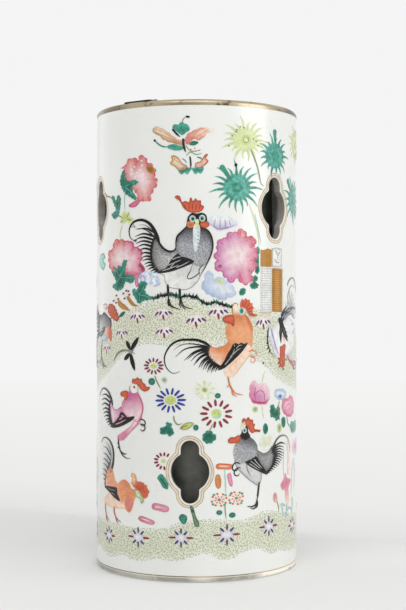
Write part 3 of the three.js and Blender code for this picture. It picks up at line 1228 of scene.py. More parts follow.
lowerBank = {
    "slope": fill([
        (-98.6, 32), (-84, 32), (-70, 31.4), (-49, 30.8), (-34, 30.6), (-20.6, 31.6), (-14.9, 33.4),
        (-9.1, 35.6), (0, 36.6), (7.1, 37.3), (21.4, 35.8), (28.6, 35.8), (35.7, 37.8), (42.9, 39.6),
        (50, 39.2), (60, 37), (74, 34.5), (86, 32.5), (98.6, 32), (98.6, 12.5), (86, 13.5), (76, 11.8),
        (66, 12.6), (57, 14.2), (50, 13.2), (44.3, 15), (40, 17.4), (32.1, 17.6), (27, 16.2), (21.4, 13.6),
        (14.3, 13.2), (10, 15), (4.3, 17), (-2.7, 15), (-9.9, 12.6), (-17, 12.7), (-24.1, 13.2), (-29.9, 12),
        (-35, 10.7), (-42, 11), (-49, 12.7), (-56.3, 10.8), (-62, 10), (-70.6, 12), (-78, 13.4), (-86, 11.6),
        (-98.6, 12.5),
    ], "sage", "paleSage", rimWidth=3, level=0, finish=ground, grid=2.4, roundness=0.85),
    "stars": [
        fullStar(-88, 22, 6),
        fullStar(-62.7, 22.9, 7),
        fullStar(-36.4, 24.8, 8),
        fullStar(-9.1, 26.2, 7.5),
        fullStar(17.9, 27.6, 8.5),
        fullStar(47.1, 30, 8),
        fullStar(75, 27, 7),
    ],
}

for name, marks in (("upperBank", upperBank), ("lowerBank", lowerBank)):
    paintPiece(name + "Front", marks)
    paintPiece(name + "Back", marks, shift=halfTurn)
print("banks painted")

# Butterfly over a leafy sprig
butterfly = {
    "leftUpperWing": fill(
        [
            (-25.4, 265), (-21.6, 264.6), (-16.3, 261.3), (-12, 257.9), (-7.6, 255), (-13.4, 255.5),
            (-19.1, 257.5), (-22.6, 260.4), (-26, 262.2),
        ],
        "cream", "ochre", rimWidth=2.4, roundness=1.1, lobes=(0.5, 4),
        fade=((-19, 262), (-10, 257), "salmon"), rimFade=((-18, 258), (-15, 263), "shell"),
    ),
    "wingVeins": strokes([
        [(-24.6, 264), (-19, 261.6), (-13, 258.4)], [(-25.4, 262.6), (-19.4, 259.6), (-11, 256.4)],
        [(2, 263), (-1.4, 260.2), (-4.6, 256.6)], [(6.6, 263), (2, 260), (-3, 257.4)],
        [(-13.4, 246.4), (-10.6, 244)], [(4.4, 246.4), (2, 243.6)],
    ], 0.35, "amber"),
    "rightUpperWing": fill(
        [
            (-6.6, 255.4), (-5.8, 259.6), (-2.4, 262), (2.9, 264), (7.1, 263.8), (10, 262.8), (6.4, 261.3),
            (4.3, 259), (1.2, 257), (-2, 257.6), (-4.6, 254.8),
        ],
        "salmon", roundness=1.1, lobes=(0.5, 4), fade=((-5, 257), (3, 262), "shell"),
        rimFade=((3, 262), (8, 263), "cream"),
    ),
    "leftLowerWing": fill(
        [
            (-14.7, 248), (-11.3, 247.2), (-8.6, 243.6), (-5.6, 241.2), (-9.9, 239.4), (-12.7, 241.8),
            (-15.4, 243.6), (-14.2, 245.6),
        ],
        "cream", "amber", rimWidth=2.4, lobes=(0.4, 3.4), line=("umber", 0.25),
        rimFade=((-12, 243), (-7, 240), "coral"),
    ),
    "rightLowerWing": fill(
        [
            (6.3, 249), (5.2, 246.6), (6.6, 244.7), (3.4, 241.7), (-0.2, 241), (-0.8, 243.2), (2.4, 244.6),
            (4.2, 247.4),
        ],
        "cream", "salmon", rimWidth=2.2, lobes=(0.4, 3.4), line=("umber", 0.25),
        rimFade=((2, 242), (5, 246), "coral"),
    ),
    "leafCluster": fill([
        (-14.2, 264.4), (-13, 266.4), (-11, 266), (-9, 267.6), (-7, 266.7), (-5.2, 266), (-4, 263),
        (-6.3, 261.2), (-8.4, 259.8), (-11.4, 261.8),
    ], "jade", "seaJade", rimWidth=1.5),
    "leftLeaf": fill([
        (-17.4, 253.4), (-14, 254.8), (-10.4, 254), (-7.6, 252.4), (-10, 251), (-14, 251.3),
    ], "jade", "seaJade", rimWidth=1),
    "eyeLeaf": fill([(-4.4, 254.6), (-2, 256.4), (1, 255.8), (0.2, 254.6), (-2, 253.8)], "jade", "deepJade"),
    "fringe": fill([
        (-10.6, 240.6), (-10.2, 238), (-8.4, 237), (-7, 238.2), (-5.8, 236.8), (-4.4, 238), (-3, 240),
        (-1.8, 238.2), (-0.4, 237), (0.8, 238.2), (2.2, 237.4), (3.6, 239), (3.9, 241.4), (0.8, 241.2),
        (-3.2, 240.9), (-7, 241.4),
    ], "jade", "seaJade", rimWidth=1.2),
    "lines": [
        stroke([(-14.3, 263.6), (-12, 261), (-9.6, 258.8)], 1.1, "ink"),
        stroke([(-8.2, 266.8), (-8, 268.8), (-6.4, 270.6)], 0.5, "moss"),
        stroke([(-25, 257.2), (-22.6, 255), (-19.9, 253.6), (-16.3, 253.2)], 0.8, "jade"),
        stroke([(-7.9, 258), (-7.5, 253.4), (-6.3, 249.9)], 1.5, "charcoal"),
        stroke([(-3.9, 247.6), (-3.5, 244), (-3.4, 240.4)], 1.0, "charcoal"),
        stroke([(-6.3, 254), (-4, 251), (-1, 250.5), (2.6, 251.6)], 0.45, "moss"),
        stroke([(-6, 248), (-3.8, 250), (-0.5, 248.6), (3.4, 249.4)], 0.45, "moss"),
        stroke([(0.2, 247), (2.2, 246.6), (3.4, 245.6)], 0.8, "jade"),
        stroke([(-8.4, 246.4), (-6.8, 245.2), (-5.8, 243.6)], 0.7, "seaJade"),
        dot((-5.2, 270.5), (2.6, 1.3), "ink", turn=-12),
        dot((-25.1, 257.3), 1.5, "ink"),
        dots([(-3.4, 251.6), (-1.2, 252.2), (1.4, 251)], 0.8, "coral"),
    ],
}


# Leaves with darker veins: a lobed outline, and a vein towards each named tip
def veinedLeaf(outline, root, tips, colour="jade", vein="deepJade", **more):
    marks = [fill(outline, vein, colour, rimWidth=2.4, roundness=0.5, lobes=(0.6, 2.6), **more)]
    level = more.get("level", 1) + 1
    for tip in tips:
        middle = ((root[0] + tip[0]) / 2 + 0.4, (root[1] + tip[1]) / 2 + 0.3)
        marks.append(stroke([root, middle, tip], 0.45, "seaJade", level=level))
    return marks


# A peony: a pale heart that deepens to its lobed edge, over a row of round petals.
# sides holds the deep and the middle tone at the left, then those at the right.
def peony(outline, heart, sides, pale, petal=4.4, rimWidth=6.5):
    middle = sides[0][1]
    left, right = min(s for s, z in outline), max(s for s, z in outline)
    across = ((left + 0.3 * (right - left), heart[1]), (left + 0.8 * (right - left), heart[1]), sides[1][1])
    marks = [fill(outline, pale, middle, rimWidth=rimWidth, lobes=(0.9, petal), rimFade=across, level=3)]
    for index, (s, z) in enumerate(outline):
        deep, middle = sides[0] if s < heart[0] else sides[1]
        size = petal * (1.0 + 0.2 * math.sin(2.3 * index))
        centre = (s + (heart[0] - s) * 0.05, z + (heart[1] - z) * 0.05)
        marks.append(dot(centre, (size, 0.88 * size), deep, heart=middle, level=1 + index % 4 / 4))
        if index % 3 == 1:
            inner = (s + (heart[0] - s) * 0.2, z + (heart[1] - z) * 0.2)
            marks.append(stroke([(s, z), inner], 0.9, deep, towards=middle, level=4, leaf=True))
    return marks


leftPeonySpray = {
    "bloom": peony([
        (-43.4, 246.8), (-39.2, 246.8), (-37.8, 243.4), (-36.2, 245), (-34.1, 248.3), (-31.3, 246.8),
        (-30.9, 243.6), (-27.7, 243.2), (-25.4, 240), (-26.4, 237.4), (-24.2, 234), (-25, 231),
        (-27.6, 227.6), (-28.4, 222.6), (-32.7, 223.2), (-35.2, 223.6), (-37.6, 228), (-41, 231), (-45, 236),
        (-46.4, 239.4), (-46, 243),
    ], (-36, 236), (("crimson", "salmon"), ("crimson", "salmon")), "blush", 3.8),
    "brownPetal": fill([
        (-30.6, 242.6), (-27.6, 243.2), (-25.4, 240.4), (-26.6, 238), (-29.6, 239.4),
    ], "umber", "ochre", rimWidth=1.5, level=4),
    "tail": fill([
        (-43.6, 219.8), (-40.6, 221.8), (-37.4, 223), (-33.6, 224.4), (-35.6, 221.4), (-38.8, 219),
    ], "rose", "deepRose", rimWidth=1.2),
    "curl": stroke([(-44, 241), (-47, 243), (-50.2, 242.4)], 1.2, "rose"),
    "lights": dots([
        (-41, 241.2), (-39, 242.6), (-37, 239.2), (-34, 246), (-33.4, 243.2), (-32.8, 238), (-38.6, 236.6),
        (-35.4, 240.6), (-30.4, 236), (-36.2, 234.6), (-41.6, 238.6),
    ], (1.3, 1.0), "white", level=4),
    "leaf": veinedLeaf([
        (-49.4, 239), (-47.4, 241.4), (-46.1, 236.4), (-43, 234.2), (-39.6, 235), (-36.2, 233.4),
        (-40.6, 231.4), (-40.4, 228), (-37.4, 223.4), (-42, 225), (-46.3, 227.7), (-49.1, 230.6),
        (-50.8, 234.9),
    ], (-46.5, 231.5), [(-47.6, 240.4), (-38, 233.4), (-38.6, 224.6)], level=6),
    "sideLeaf": veinedLeaf([
        (-59.8, 226.2), (-57, 226.4), (-55.2, 223.4), (-53, 226.8), (-50.6, 225), (-50.8, 220.6),
        (-52.6, 214.6), (-56.3, 212.8), (-59.4, 215.4), (-55, 218), (-57.2, 222),
    ], (-53.6, 216), [(-58.8, 225.8), (-51.8, 225), (-58.2, 215)]),
    "stems": [
        stroke([(-68, 229.2), (-65.5, 227), (-62.8, 226.6), (-59.4, 225.4)], 0.8, "deepGilt"),
        stroke([(-46.6, 228), (-47.2, 222), (-46.6, 217)], 0.5, "paleJade"),
        stroke([(-53, 215), (-50.6, 214), (-48, 212.6)], 0.7, "moss"),
        stroke([(-49, 209), (-51, 204), (-50.6, 199)], 0.6, "paleLime"),
    ],
    "limeFlower": [
        fill([
            (-50.8, 210.4), (-50.2, 213), (-47.9, 216.8), (-45.4, 216), (-43.2, 217), (-42.6, 213.6),
            (-39.6, 211.8), (-41.4, 209.8), (-42, 207.5), (-44.6, 210.6), (-47.8, 209.8),
        ], "lime", "paleLime", roundness=0.7),
        strokes([
            [(-50.6, 210.4), (-48, 211.4)], [(-45, 213), (-43, 216)], [(-45, 212), (-41.4, 211.4)],
        ], 0.6, "moss", level=2),
    ],
}

# Big grey rooster with two eyes to the front
greyRooster = {
    "sickle": [
        stroke([
            (-22, 197), (-24.3, 203), (-28, 208.4), (-32, 210.8), (-36, 211.2), (-39.9, 210), (-42.7, 207),
            (-43.2, 203.8), (-42, 200.8), (-38.8, 198.9),
        ], 2.1, "ink", tip=0.8),
        stroke([
            (-23.6, 198), (-25.6, 203), (-28.4, 206.2), (-32, 208.2), (-36, 208.2),
        ], 0.7, "charcoal", tip=0.9),
        stroke([(-24, 198), (-26, 201.6), (-29.4, 204.4), (-33.4, 206), (-38, 206.2)], 0.9, "ink", tip=0.9),
        strokes([
            [(-40.6, 210), (-39, 207.6), (-38, 207.4)], [(-42, 207.4), (-40, 207.4), (-38.2, 206.6)],
        ], 0.3, "slate"),
        dot((-38.5, 199.2), (2, 1.6), "purple"),
    ],
    "tail": feathers(
        [(-24, 203), (-26.4, 197), (-26.8, 190), (-24.6, 184.4), (-21.5, 180.6)],
        [
            (-37.2, 205.8), (-38.8, 201.6), (-39.4, 199.4), (-38.2, 197.4), (-37, 195.6), (-36.2, 193.4),
            (-35, 191), (-34, 189), (-33.2, 187.2), (-32, 185.2), (-31, 183.6), (-29.6, 182), (-28, 180.8),
            (-26, 180.1),
        ],
        1.35, "ink", -0.12,
    ),
    "tailRoot": fill([
        (-23.4, 203), (-26, 200.4), (-28, 195), (-28, 189), (-26.2, 184), (-21.6, 180.2), (-22.4, 185),
        (-24, 192), (-22.6, 198),
    ], "ink", "charcoal", rimWidth=1.0, level=2),
    "saddle": fill([
        (-24.4, 199.6), (-21.3, 195.6), (-17, 192.6), (-13.2, 193), (-10, 195), (-6, 191), (-7, 187.4),
        (-11.4, 183.4), (-20.6, 180.4), (-25, 182.6), (-26.6, 189), (-26.2, 195),
    ], "ash", "slate", rimWidth=3.4, finish=feather, level=3, fade=((-24, 190), (-14, 190), "mist")),
    "breast": fill(
        [
            (-5.7, 207.2), (-8.4, 204.2), (-11.5, 201.2), (-12.5, 197.2), (-11.8, 192.6), (-10.4, 189.4),
            (-6.4, 186.4), (-1.6, 184.4), (3.4, 183.6), (7, 187.4), (8.8, 191.8), (9.3, 196.4), (8.4, 201),
            (6.4, 204.4), (3, 206.6), (-1.5, 207.4),
        ],
        "charcoal", rimWidth=2.6, finish=feather, level=4, fade=((-1, 206), (-2, 196), "dove"),
        rimFade=((0, 200), (0, 186), "ash"),
    ),
    "belly": fill(
        [
            (-23.6, 180.4), (-19.2, 178.4), (-18.4, 174.4), (-16, 171.8), (-10.6, 170.6), (-6.6, 170.2),
            (-2.6, 172), (0.6, 175.4), (2.8, 179.6), (5.6, 184.8), (3.6, 186.8), (-2, 187), (-10, 184.6),
        ],
        "mist", rimWidth=3, level=2, line=("slate", 0.3), fade=((-10, 183), (-12, 173), "white"),
        rimFade=((4, 184), (-20, 176), "white"),
    ),
    "wing": fill([
        (-23.4, 180.2), (-18.2, 182.8), (-15, 187.6), (-11, 191.4), (-9, 189.6), (-5, 188.6), (-1.4, 186.4),
        (-7.7, 183.2), (-13.4, 181.1), (-19, 180),
    ], "ink", "charcoal", rimWidth=0.8, level=5, roundness=0.6),
    "wingLights": strokes([
        [(-20.4, 181.2), (-15.6, 182.6), (-10.2, 184.6)], [(-17.4, 184.2), (-13.6, 185.6), (-9, 187.6)],
        [(-14.4, 187.6), (-11.6, 188.8), (-8.8, 189.4)], [(-12, 183), (-8, 184.6), (-4.2, 186.6)],
        [(-16.2, 182), (-12.4, 186.4)],
    ], 0.55, "ash", level=6),
    "outline": [
        stroke([
            (-24.6, 202.6), (-22, 197.2), (-19, 193.8), (-15.4, 192.4), (-12.6, 193.6), (-12, 197),
        ], 1.2, "ink", level=6),
        stroke([(-12.2, 197), (-11.3, 201.2), (-8.4, 204.2), (-5.6, 207.2)], 0.9, "ink", level=6),
        stroke([
            (3, 206.6), (6.6, 204.4), (8.7, 200.8), (9.4, 196), (8.6, 191.4), (6.2, 185.8), (2.6, 179.4),
        ], 0.8, "ink", level=6),
        stroke([
            (2, 180.4), (-1.5, 177.6), (-5.2, 176.8), (-3.8, 180.8), (-2.4, 184.6),
        ], 0.5, "charcoal", level=6),
        stroke([(3.8, 185), (1.4, 181.6), (1.8, 177.8)], 0.45, "charcoal", level=6),
    ],
    "bib": [
        fill([
            (-1.5, 208), (1.4, 208), (2.0, 202), (1.1, 196), (-0.6, 192), (-1.9, 195.4), (-2.2, 201),
        ], "frost", "mist", rimWidth=0.9, level=6),
        strokes(
            [[(0.3, 204 - 2.2 * step), (1.6, 203.2 - 2.2 * step)] for step in range(6)],
            0.45, "slate", level=7,
        ),
    ],
    "comb": fill([
        (-12.9, 223.9), (-11.4, 225), (-9.7, 224.3), (-8.4, 220.9), (-7, 221.6), (-5.6, 221.4), (-4.6, 220.8),
        (-3.4, 223.8), (-2.2, 221.6), (-0.6, 223.2), (0.6, 221.8), (2.4, 222), (2.6, 219.4), (4.2, 218.6),
        (3.4, 216.4), (1.6, 215.2), (-2.7, 214.9), (-5.8, 215.9), (-7.9, 218), (-9.9, 221.6),
    ], "coral", "deepCoral", rimWidth=0.9, level=3, roundness=0.8, fade=((-12, 224), (-7, 220), "coral")),
    "combLines": strokes([
        [(-6.4, 217), (-7, 219.6)], [(-4.4, 216.6), (-4.4, 219.6)], [(-2.4, 216.4), (-2.6, 220.4)],
        [(-0.4, 216.4), (-0.2, 220)], [(1.4, 216.8), (2.2, 219.4)],
    ], 0.7, "deepCoral", level=4),
    "head": [
        fill([
            (-5.7, 206.6), (-5.6, 210), (-5, 212.6), (-2.8, 214.7), (0.2, 214.3), (3, 214.8), (5.4, 213.6),
            (6.1, 210.6), (5.8, 206.8), (0, 205.6),
        ], "ink", "charcoal", rimWidth=0.6, level=5),
        fill([
            (-5.6, 209.3), (-5.3, 206.9), (-4, 205.9), (-2, 206.5), (-1.4, 208.8), (-3.4, 209.7),
        ], "coral", "orange", rimWidth=0.8, level=7),
        fill([
            (1.6, 208.8), (2.4, 206.8), (4.6, 206), (6.8, 206.8), (7.4, 208.6), (5.6, 209.9), (3.4, 209.5),
        ], "coral", "deepCoral", rimWidth=0.8, level=7),
        fill([
            (-1, 210.8), (1.2, 210.8), (1.1, 208), (0.2, 205.2), (-0.8, 208),
        ], "cream", "lime", rimWidth=0.5, level=8),
    ],
    "eyes": [
        dots([(-2.4, 211.3), (3.2, 211.6)], (3.7, 4.0), "mist", level=7),
        dots([(-2.3, 211.2), (3.1, 211.5)], (2.5, 2.8), "seaJade", level=8),
        dots([(-2.2, 211.2), (3.0, 211.4)], (1.2, 1.6), "ink", level=9),
    ],
    "legs": [
        stroke([(-17, 173.4), (-16.8, 169), (-16.5, 165)], 1.4, "ink"),
        stroke([(-9.9, 171), (-9.8, 168), (-9.5, 165)], 1.4, "ink"),
        strokes([
            [(-16.6, 166.4), (-16.2, 161.8), (-13.6, 159.2)], [(-16.5, 165.4), (-14.6, 160.8), (-9.3, 158.5)],
            [(-16.7, 165.6), (-16.9, 162.2), (-16.2, 160.2)], [(-9.6, 166.2), (-9, 161.6), (-6, 158.4)],
            [(-9.5, 165.8), (-7.2, 160.6), (-2, 159)], [(-9.7, 165.2), (-9.9, 161.6), (-9.2, 159.4)],
        ], 0.62, "ink", level=4),
    ],
}


# A bristly line of moss: short crossed strokes along a path
def moss(path, seed):
    random.seed(seed)
    marks = [stroke(path, 1.2, "ink", even=True, level=3)]
    for s, z in lineThrough(path, 0.8, False):
        lean = random.uniform(-1.2, 1.2)
        rise = random.uniform(0.9, 2.1)
        colour = random.choice(("ink", "ink", "deepJade"))
        marks.append(stroke([(s - lean, z - 0.7 * rise), (s, z), (s + lean, z + rise)], 0.6, colour, level=4))
    return marks


mossLine = moss([
    (-26.2, 165), (-20.6, 166.8), (-17, 167.2), (-13.4, 167.2), (-9.9, 165.8), (-6.3, 166.6), (-2.7, 166.2),
    (0.6, 165.2), (3.6, 162.8), (7.1, 161.9), (10.7, 163), (14.3, 162), (17.9, 160.8), (20.9, 160.2),
], 3)

# Magenta peony at the left with its leaves and fungus stems
lowPeonySpray = {
    "skyFlower": fill([
        (-35, 179.6), (-31, 181.2), (-28, 180), (-25.6, 180.4), (-22.8, 177.6), (-22, 173.6), (-25, 172.4),
        (-28.4, 174), (-32, 173.8), (-34.8, 175.8),
    ], "frost", "sky", rimWidth=3.2, lobes=(0.7, 3.4), finish=leafy, fade=((-24, 178), (-34, 178), "lilac")),
    "skyHeart": dot((-27.7, 177.2), (2.4, 1.6), "paleLime", level=2),
    "bloom": peony([
        (-56.5, 197.2), (-54.4, 199), (-52, 198.3), (-49.6, 198.8), (-47, 197.9), (-44.4, 198.4),
        (-42, 197.2), (-40, 194.6), (-37, 194), (-35.4, 192.2), (-34.6, 188.6), (-36, 185), (-34.2, 181.6),
        (-36.6, 179.2), (-40, 179.8), (-45, 181), (-51, 180.4), (-57.7, 182.6), (-61.4, 184.8),
        (-62.4, 188.6), (-61.8, 192.2), (-58.6, 194),
    ], (-48, 187), (("crimson", "salmon"), ("deepRose", "rose")), "blush", 4.8),
    "pale": fill([
        (-45.6, 188), (-42.4, 188.4), (-40, 185.6), (-40.6, 181.6), (-43.6, 180.4), (-45.8, 183.4),
    ], "blush", "pink", rimWidth=1.5, level=3),
    "darkPetal": fill([
        (-36.2, 184.8), (-34.6, 186), (-31.4, 182.2), (-33, 180.4), (-36, 181),
    ], "wine", "magenta", rimWidth=1.2, level=3),
    "petalTail": fill([
        (-39, 181), (-36.4, 181), (-35.6, 178.4), (-36.6, 176), (-36, 173.4), (-37.4, 171.8), (-38.8, 174.6),
        (-38.4, 178),
    ], "pink", "magenta", rimWidth=1, level=2),
    "leaf": veinedLeaf([
        (-58, 184.3), (-56, 183.6), (-54.1, 182.7), (-52, 184.8), (-49.6, 184), (-47.6, 187.6),
        (-44.8, 187.6), (-46.2, 183.6), (-45.9, 179.4), (-42.4, 178.9), (-38.9, 177.2), (-41.3, 174.3),
        (-46.3, 175.4), (-48.8, 171.2), (-53.4, 170), (-58.4, 172.6), (-54.6, 174.6), (-55.8, 177.5),
        (-58.8, 181.2), (-56, 181.6),
    ], (-50.6, 177.6), [(-57, 183.6), (-46, 186.8), (-39.8, 176.8), (-56.6, 172.8), (-51.2, 183.4)], level=6),
    "lowLeaf": veinedLeaf([
        (-40.1, 170.8), (-36.9, 170.2), (-35.8, 173.4), (-34, 175.2), (-30.2, 174.2), (-32, 170.2),
        (-30.2, 167.4), (-26.6, 165.2), (-32.7, 163.9), (-35.9, 162.2), (-38.4, 165.6), (-40.4, 168),
    ], (-35.4, 167.2), [(-39.4, 170.2), (-31.4, 173.8), (-28, 165.4), (-35.8, 163)], level=4),
    "faintLeaf": fill([
        (-79, 187.6), (-76, 192), (-71, 193), (-68, 190), (-71.6, 188.4), (-67.6, 186), (-71, 182.4),
        (-75.4, 184),
    ], "paleJade", "seaJade", rimWidth=1.6, roundness=0.5),
    "fungi": [
        stroke([
            (-52.9, 163.8), (-50.4, 161.4), (-47.7, 160.2), (-42.7, 158),
        ], 3.2, "ochre", tip=0.5, level=2),
        stroke([
            (-44.8, 166.4), (-42, 163.2), (-39.6, 161.4), (-36.6, 160.8),
        ], 2.4, "ochre", tip=0.5, level=2),
        stroke([(-51.8, 162.4), (-49, 160.4), (-45, 158.8)], 0.7, "amber", level=4),
    ],
    "spots": dots([
        (-48.1, 168.1), (-45.6, 169.8), (-43.8, 169.4), (-43.1, 167.4), (-47, 165.2), (-54.5, 167),
        (-52.7, 164.9), (-54.9, 162.7), (-57.4, 163.8),
    ], (1.9, 1.1), "wine", turn=20),
    "spotHearts": dots([(-46, 167.2), (-55.2, 164.9)], (2.4, 1.8), "cream", level=2),
}

# Rooster at the left edge, its neck bent down
leftEdgeRooster = {
    "tail": feathers(
        [(-76, 153), (-78, 150), (-78, 145)],
        [
            (-86, 162), (-90, 160.4), (-93, 157.6), (-94.6, 154), (-95, 150.4), (-93.6, 146.6), (-91, 143.4),
            (-87.6, 141),
        ],
        1.4, "ink", 0.14,
    ),
    "tailRoot": fill([
        (-75, 155), (-79, 154), (-81, 149), (-79.6, 144), (-76, 142.6), (-77.4, 148),
    ], "ink", "charcoal", rimWidth=1, level=2),
    "body": fill(
        [
            (-77.6, 152), (-73, 155.2), (-69.6, 156), (-65.6, 154.6), (-61.4, 153.4), (-60, 149.6),
            (-61.4, 144), (-65, 140.8), (-70, 139.6), (-76, 141), (-79, 146),
        ],
        "slate", "charcoal", level=3, fade=((-66, 152), (-72, 142), "mist"),
        rimFade=((-66, 154), (-72, 141), "steel"),
    ),
    "neckLine": stroke([
        (-74.4, 151.4), (-72.6, 155), (-69, 156.2), (-65, 154.8), (-61.4, 153.4), (-59.8, 149),
    ], 1.5, "ink", level=4, leaf=True),
    "wattle": fill(
        [
            (-68, 146.4), (-65, 147.8), (-61.2, 148.4), (-59.6, 145), (-59.8, 141), (-60.6, 139.4),
            (-62.4, 141.6), (-66, 143),
        ],
        "coral", rimWidth=1.2, level=5, fade=((-62, 145), (-68, 145), "shell"),
        rimFade=((-62, 145), (-68, 145), "shell"),
    ),
    "head": [
        fill([
            (-71, 160.8), (-68, 162), (-64.4, 161.4), (-61, 157.6), (-58.4, 154.6), (-61.4, 153.6),
            (-65, 155.4), (-68.6, 157.6),
        ], "blush", "cream", rimWidth=1.4, level=5),
        stroke([(-70.6, 161.4), (-66.4, 161.8), (-63.8, 159), (-61.6, 156.6)], 0.5, "umber", level=6),
        dot((-66.2, 159.2), (2.6, 2.2), "mist", level=6),
        dot((-66.2, 159.2), (1.3, 1.2), "ink", level=7),
    ],
    "comb": fill([
        (-63.8, 158.4), (-61.6, 161.6), (-58.4, 161.4), (-56, 159.8), (-54, 157), (-52.2, 153.6),
        (-53.6, 152), (-57.2, 152.8), (-60.8, 154.8),
    ], "coral", "deepCoral", rimWidth=1.2, level=6, lobes=(0.9, 2.6)),
    "combLines": strokes([
        [(-61, 156.4), (-61.4, 160.6)], [(-59.4, 156), (-58.6, 160.6)], [(-58, 155.2), (-56, 159)],
        [(-56.6, 154.4), (-54, 156.6)],
    ], 0.7, "deepCoral", level=7),
    "beak": stroke([(-52, 154.2), (-49, 155.8), (-46.6, 157.4)], 2.4, "deepJade", leaf=True),
    "wing": fill([
        (-79.6, 143.6), (-75, 145.6), (-70, 148), (-67, 147.4), (-69.6, 144.6), (-74, 142),
    ], "ink", "charcoal", rimWidth=0.8, level=5, roundness=0.6),
    "wingLights": strokes([
        [(-77, 144.2), (-72.6, 146), (-68.8, 147)], [(-75.4, 143), (-71, 144.8)],
    ], 0.5, "ash", level=6),
    "claw": stroke([
        (-74.2, 137), (-74.6, 131), (-72.2, 126.8), (-69, 124.4), (-65.2, 124.2),
    ], 1.3, "slate", level=4),
    "toes": strokes([
        [(-73.6, 129), (-72, 125), (-70, 122.8)], [(-74.4, 130.4), (-75.8, 127.6), (-75.6, 124.6)],
    ], 0.8, "slate", level=4),
    "thigh": stroke([(-73.6, 141.6), (-74, 138.4), (-74.3, 134.6)], 2.6, "dove", level=2),
}

dragonfly = {
    "wings": [
        stroke([(-42.2, 134.2), (-39.2, 138.2), (-36, 142.4)], 2.9, "ink", leaf=True),
        stroke([(-42.4, 134.8), (-43.8, 137.4), (-45.6, 140.2)], 2.7, "ink", leaf=True),
        stroke([(-43, 133), (-45, 130.6), (-47.4, 128.8)], 2.7, "ink", leaf=True),
        stroke([(-42.4, 133.2), (-40.8, 128), (-38.8, 122.6)], 3.0, "ink", leaf=True),
    ],
    "body": [
        dot((-42.1, 133.7), (3.2, 2.4), "slate", heart="ash", level=4),
        strokes([
            [(-41, 133.6), (-38.6, 132.6)], [(-41, 134.4), (-38.8, 135)], [(-41.4, 132.6), (-40, 130.4)],
        ], 0.3, "slate"),
        stroke([
            (-43, 134.2), (-48, 134.4), (-52.6, 132.8), (-55.4, 130.2), (-57, 127.6),
        ], 1.2, "moss", towards="slate", tip=0.3),
    ],
}


# A daisy: a coloured heart and a ring of loose dashes
def daisy(centre, inner, outer, count, width, colour, squash, heart, size, start=8):
    s, z = centre
    return [
        rays(centre, inner, outer, count, width, colour, squash, start, tip=0.25, level=2),
        dot(centre, size, heart, level=2),
        dots([(s - size[0] * 0.18, z + 0.3), (s + size[0] * 0.2, z - 0.2)], 0.6, "moss"),
    ]


middleDaisies = {
    "redDaisy": daisy((-25.9, 125.6), 3.2, 6.6, 13, 1.15, "wine", 0.75, "lime", (4.2, 2.8)),
    "redStem": stroke([(-25.2, 120), (-23.4, 116), (-21.2, 112.4)], 0.7, "moss"),
    "blueDaisy": daisy((-15.4, 105.9), 4.2, 9.4, 14, 1.35, "blue", 0.78, "lime", (7, 5.2), 3),
    "bigRedDaisy": daisy((11.6, 98.1), 5.2, 9.8, 13, 1.5, "wine", 0.86, "lime", (6, 5.6), 12),
    "bigRedHeart": dot((12.6, 96.8), (3, 2.2), "paleJade"),
    "buds": [
        dot((-27.1, 116.6), (4.4, 4.2), "deepJade", heart="jade"),
        dot((-19.1, 117.7), (4, 4), "paleSage", heart="moss"),
        dot((12.3, 108.6), (3.5, 3.1), "deepJade", heart="jade"),
        dot((-0.5, 90.2), (3.2, 3.4), "deepJade", heart="jade"),
    ],
    "fadedFlower": [
        rays((4.6, 112), 1.6, 6.6, 9, 3.4, "paleSage", 0.86, 12, leaf=True, level=1),
        rays((4.6, 112), 3.0, 6.4, 9, 1.2, "paleLime", 0.86, 12, leaf=True, level=2),
        dot((4.6, 112), (3.2, 2.8), "lime", heart="moss"),
    ],
    "stems": [
        stroke([(-13.4, 97), (-13, 94), (-10.8, 91.8), (-8.4, 92.6)], 0.8, "moss"),
        stroke([(9.2, 92), (8, 89.4), (6.2, 87)], 0.6, "moss"),
        stroke([(-10, 89.6), (-7, 90.8), (-4.6, 91.8)], 0.7, "ochre"),
    ],
    "leaves": [
        fill([
            (-21.8, 88), (-20.6, 90), (-18.4, 90.4), (-17.6, 92.8), (-15, 92.2), (-14.6, 89.6), (-13.4, 87.4),
            (-15.4, 85.2), (-18, 86.4), (-20.6, 86),
        ], "deepJade", "jade", rimWidth=1.4, lobes=(0.7, 3)),
        fill([
            (-9.6, 89.6), (-6.6, 92.8), (-3.6, 93.4), (-1.6, 92.4), (-4, 90), (-6.4, 88.8),
        ], "lime", "moss", rimWidth=1),
        fill([
            (3.4, 84.6), (4.6, 87), (7.2, 88.4), (9.6, 86.8), (11.4, 84.6), (9.4, 82), (7, 81), (4.4, 82),
        ], "deepJade", "jade", rimWidth=1.6, lobes=(0.7, 3)),
    ],
}

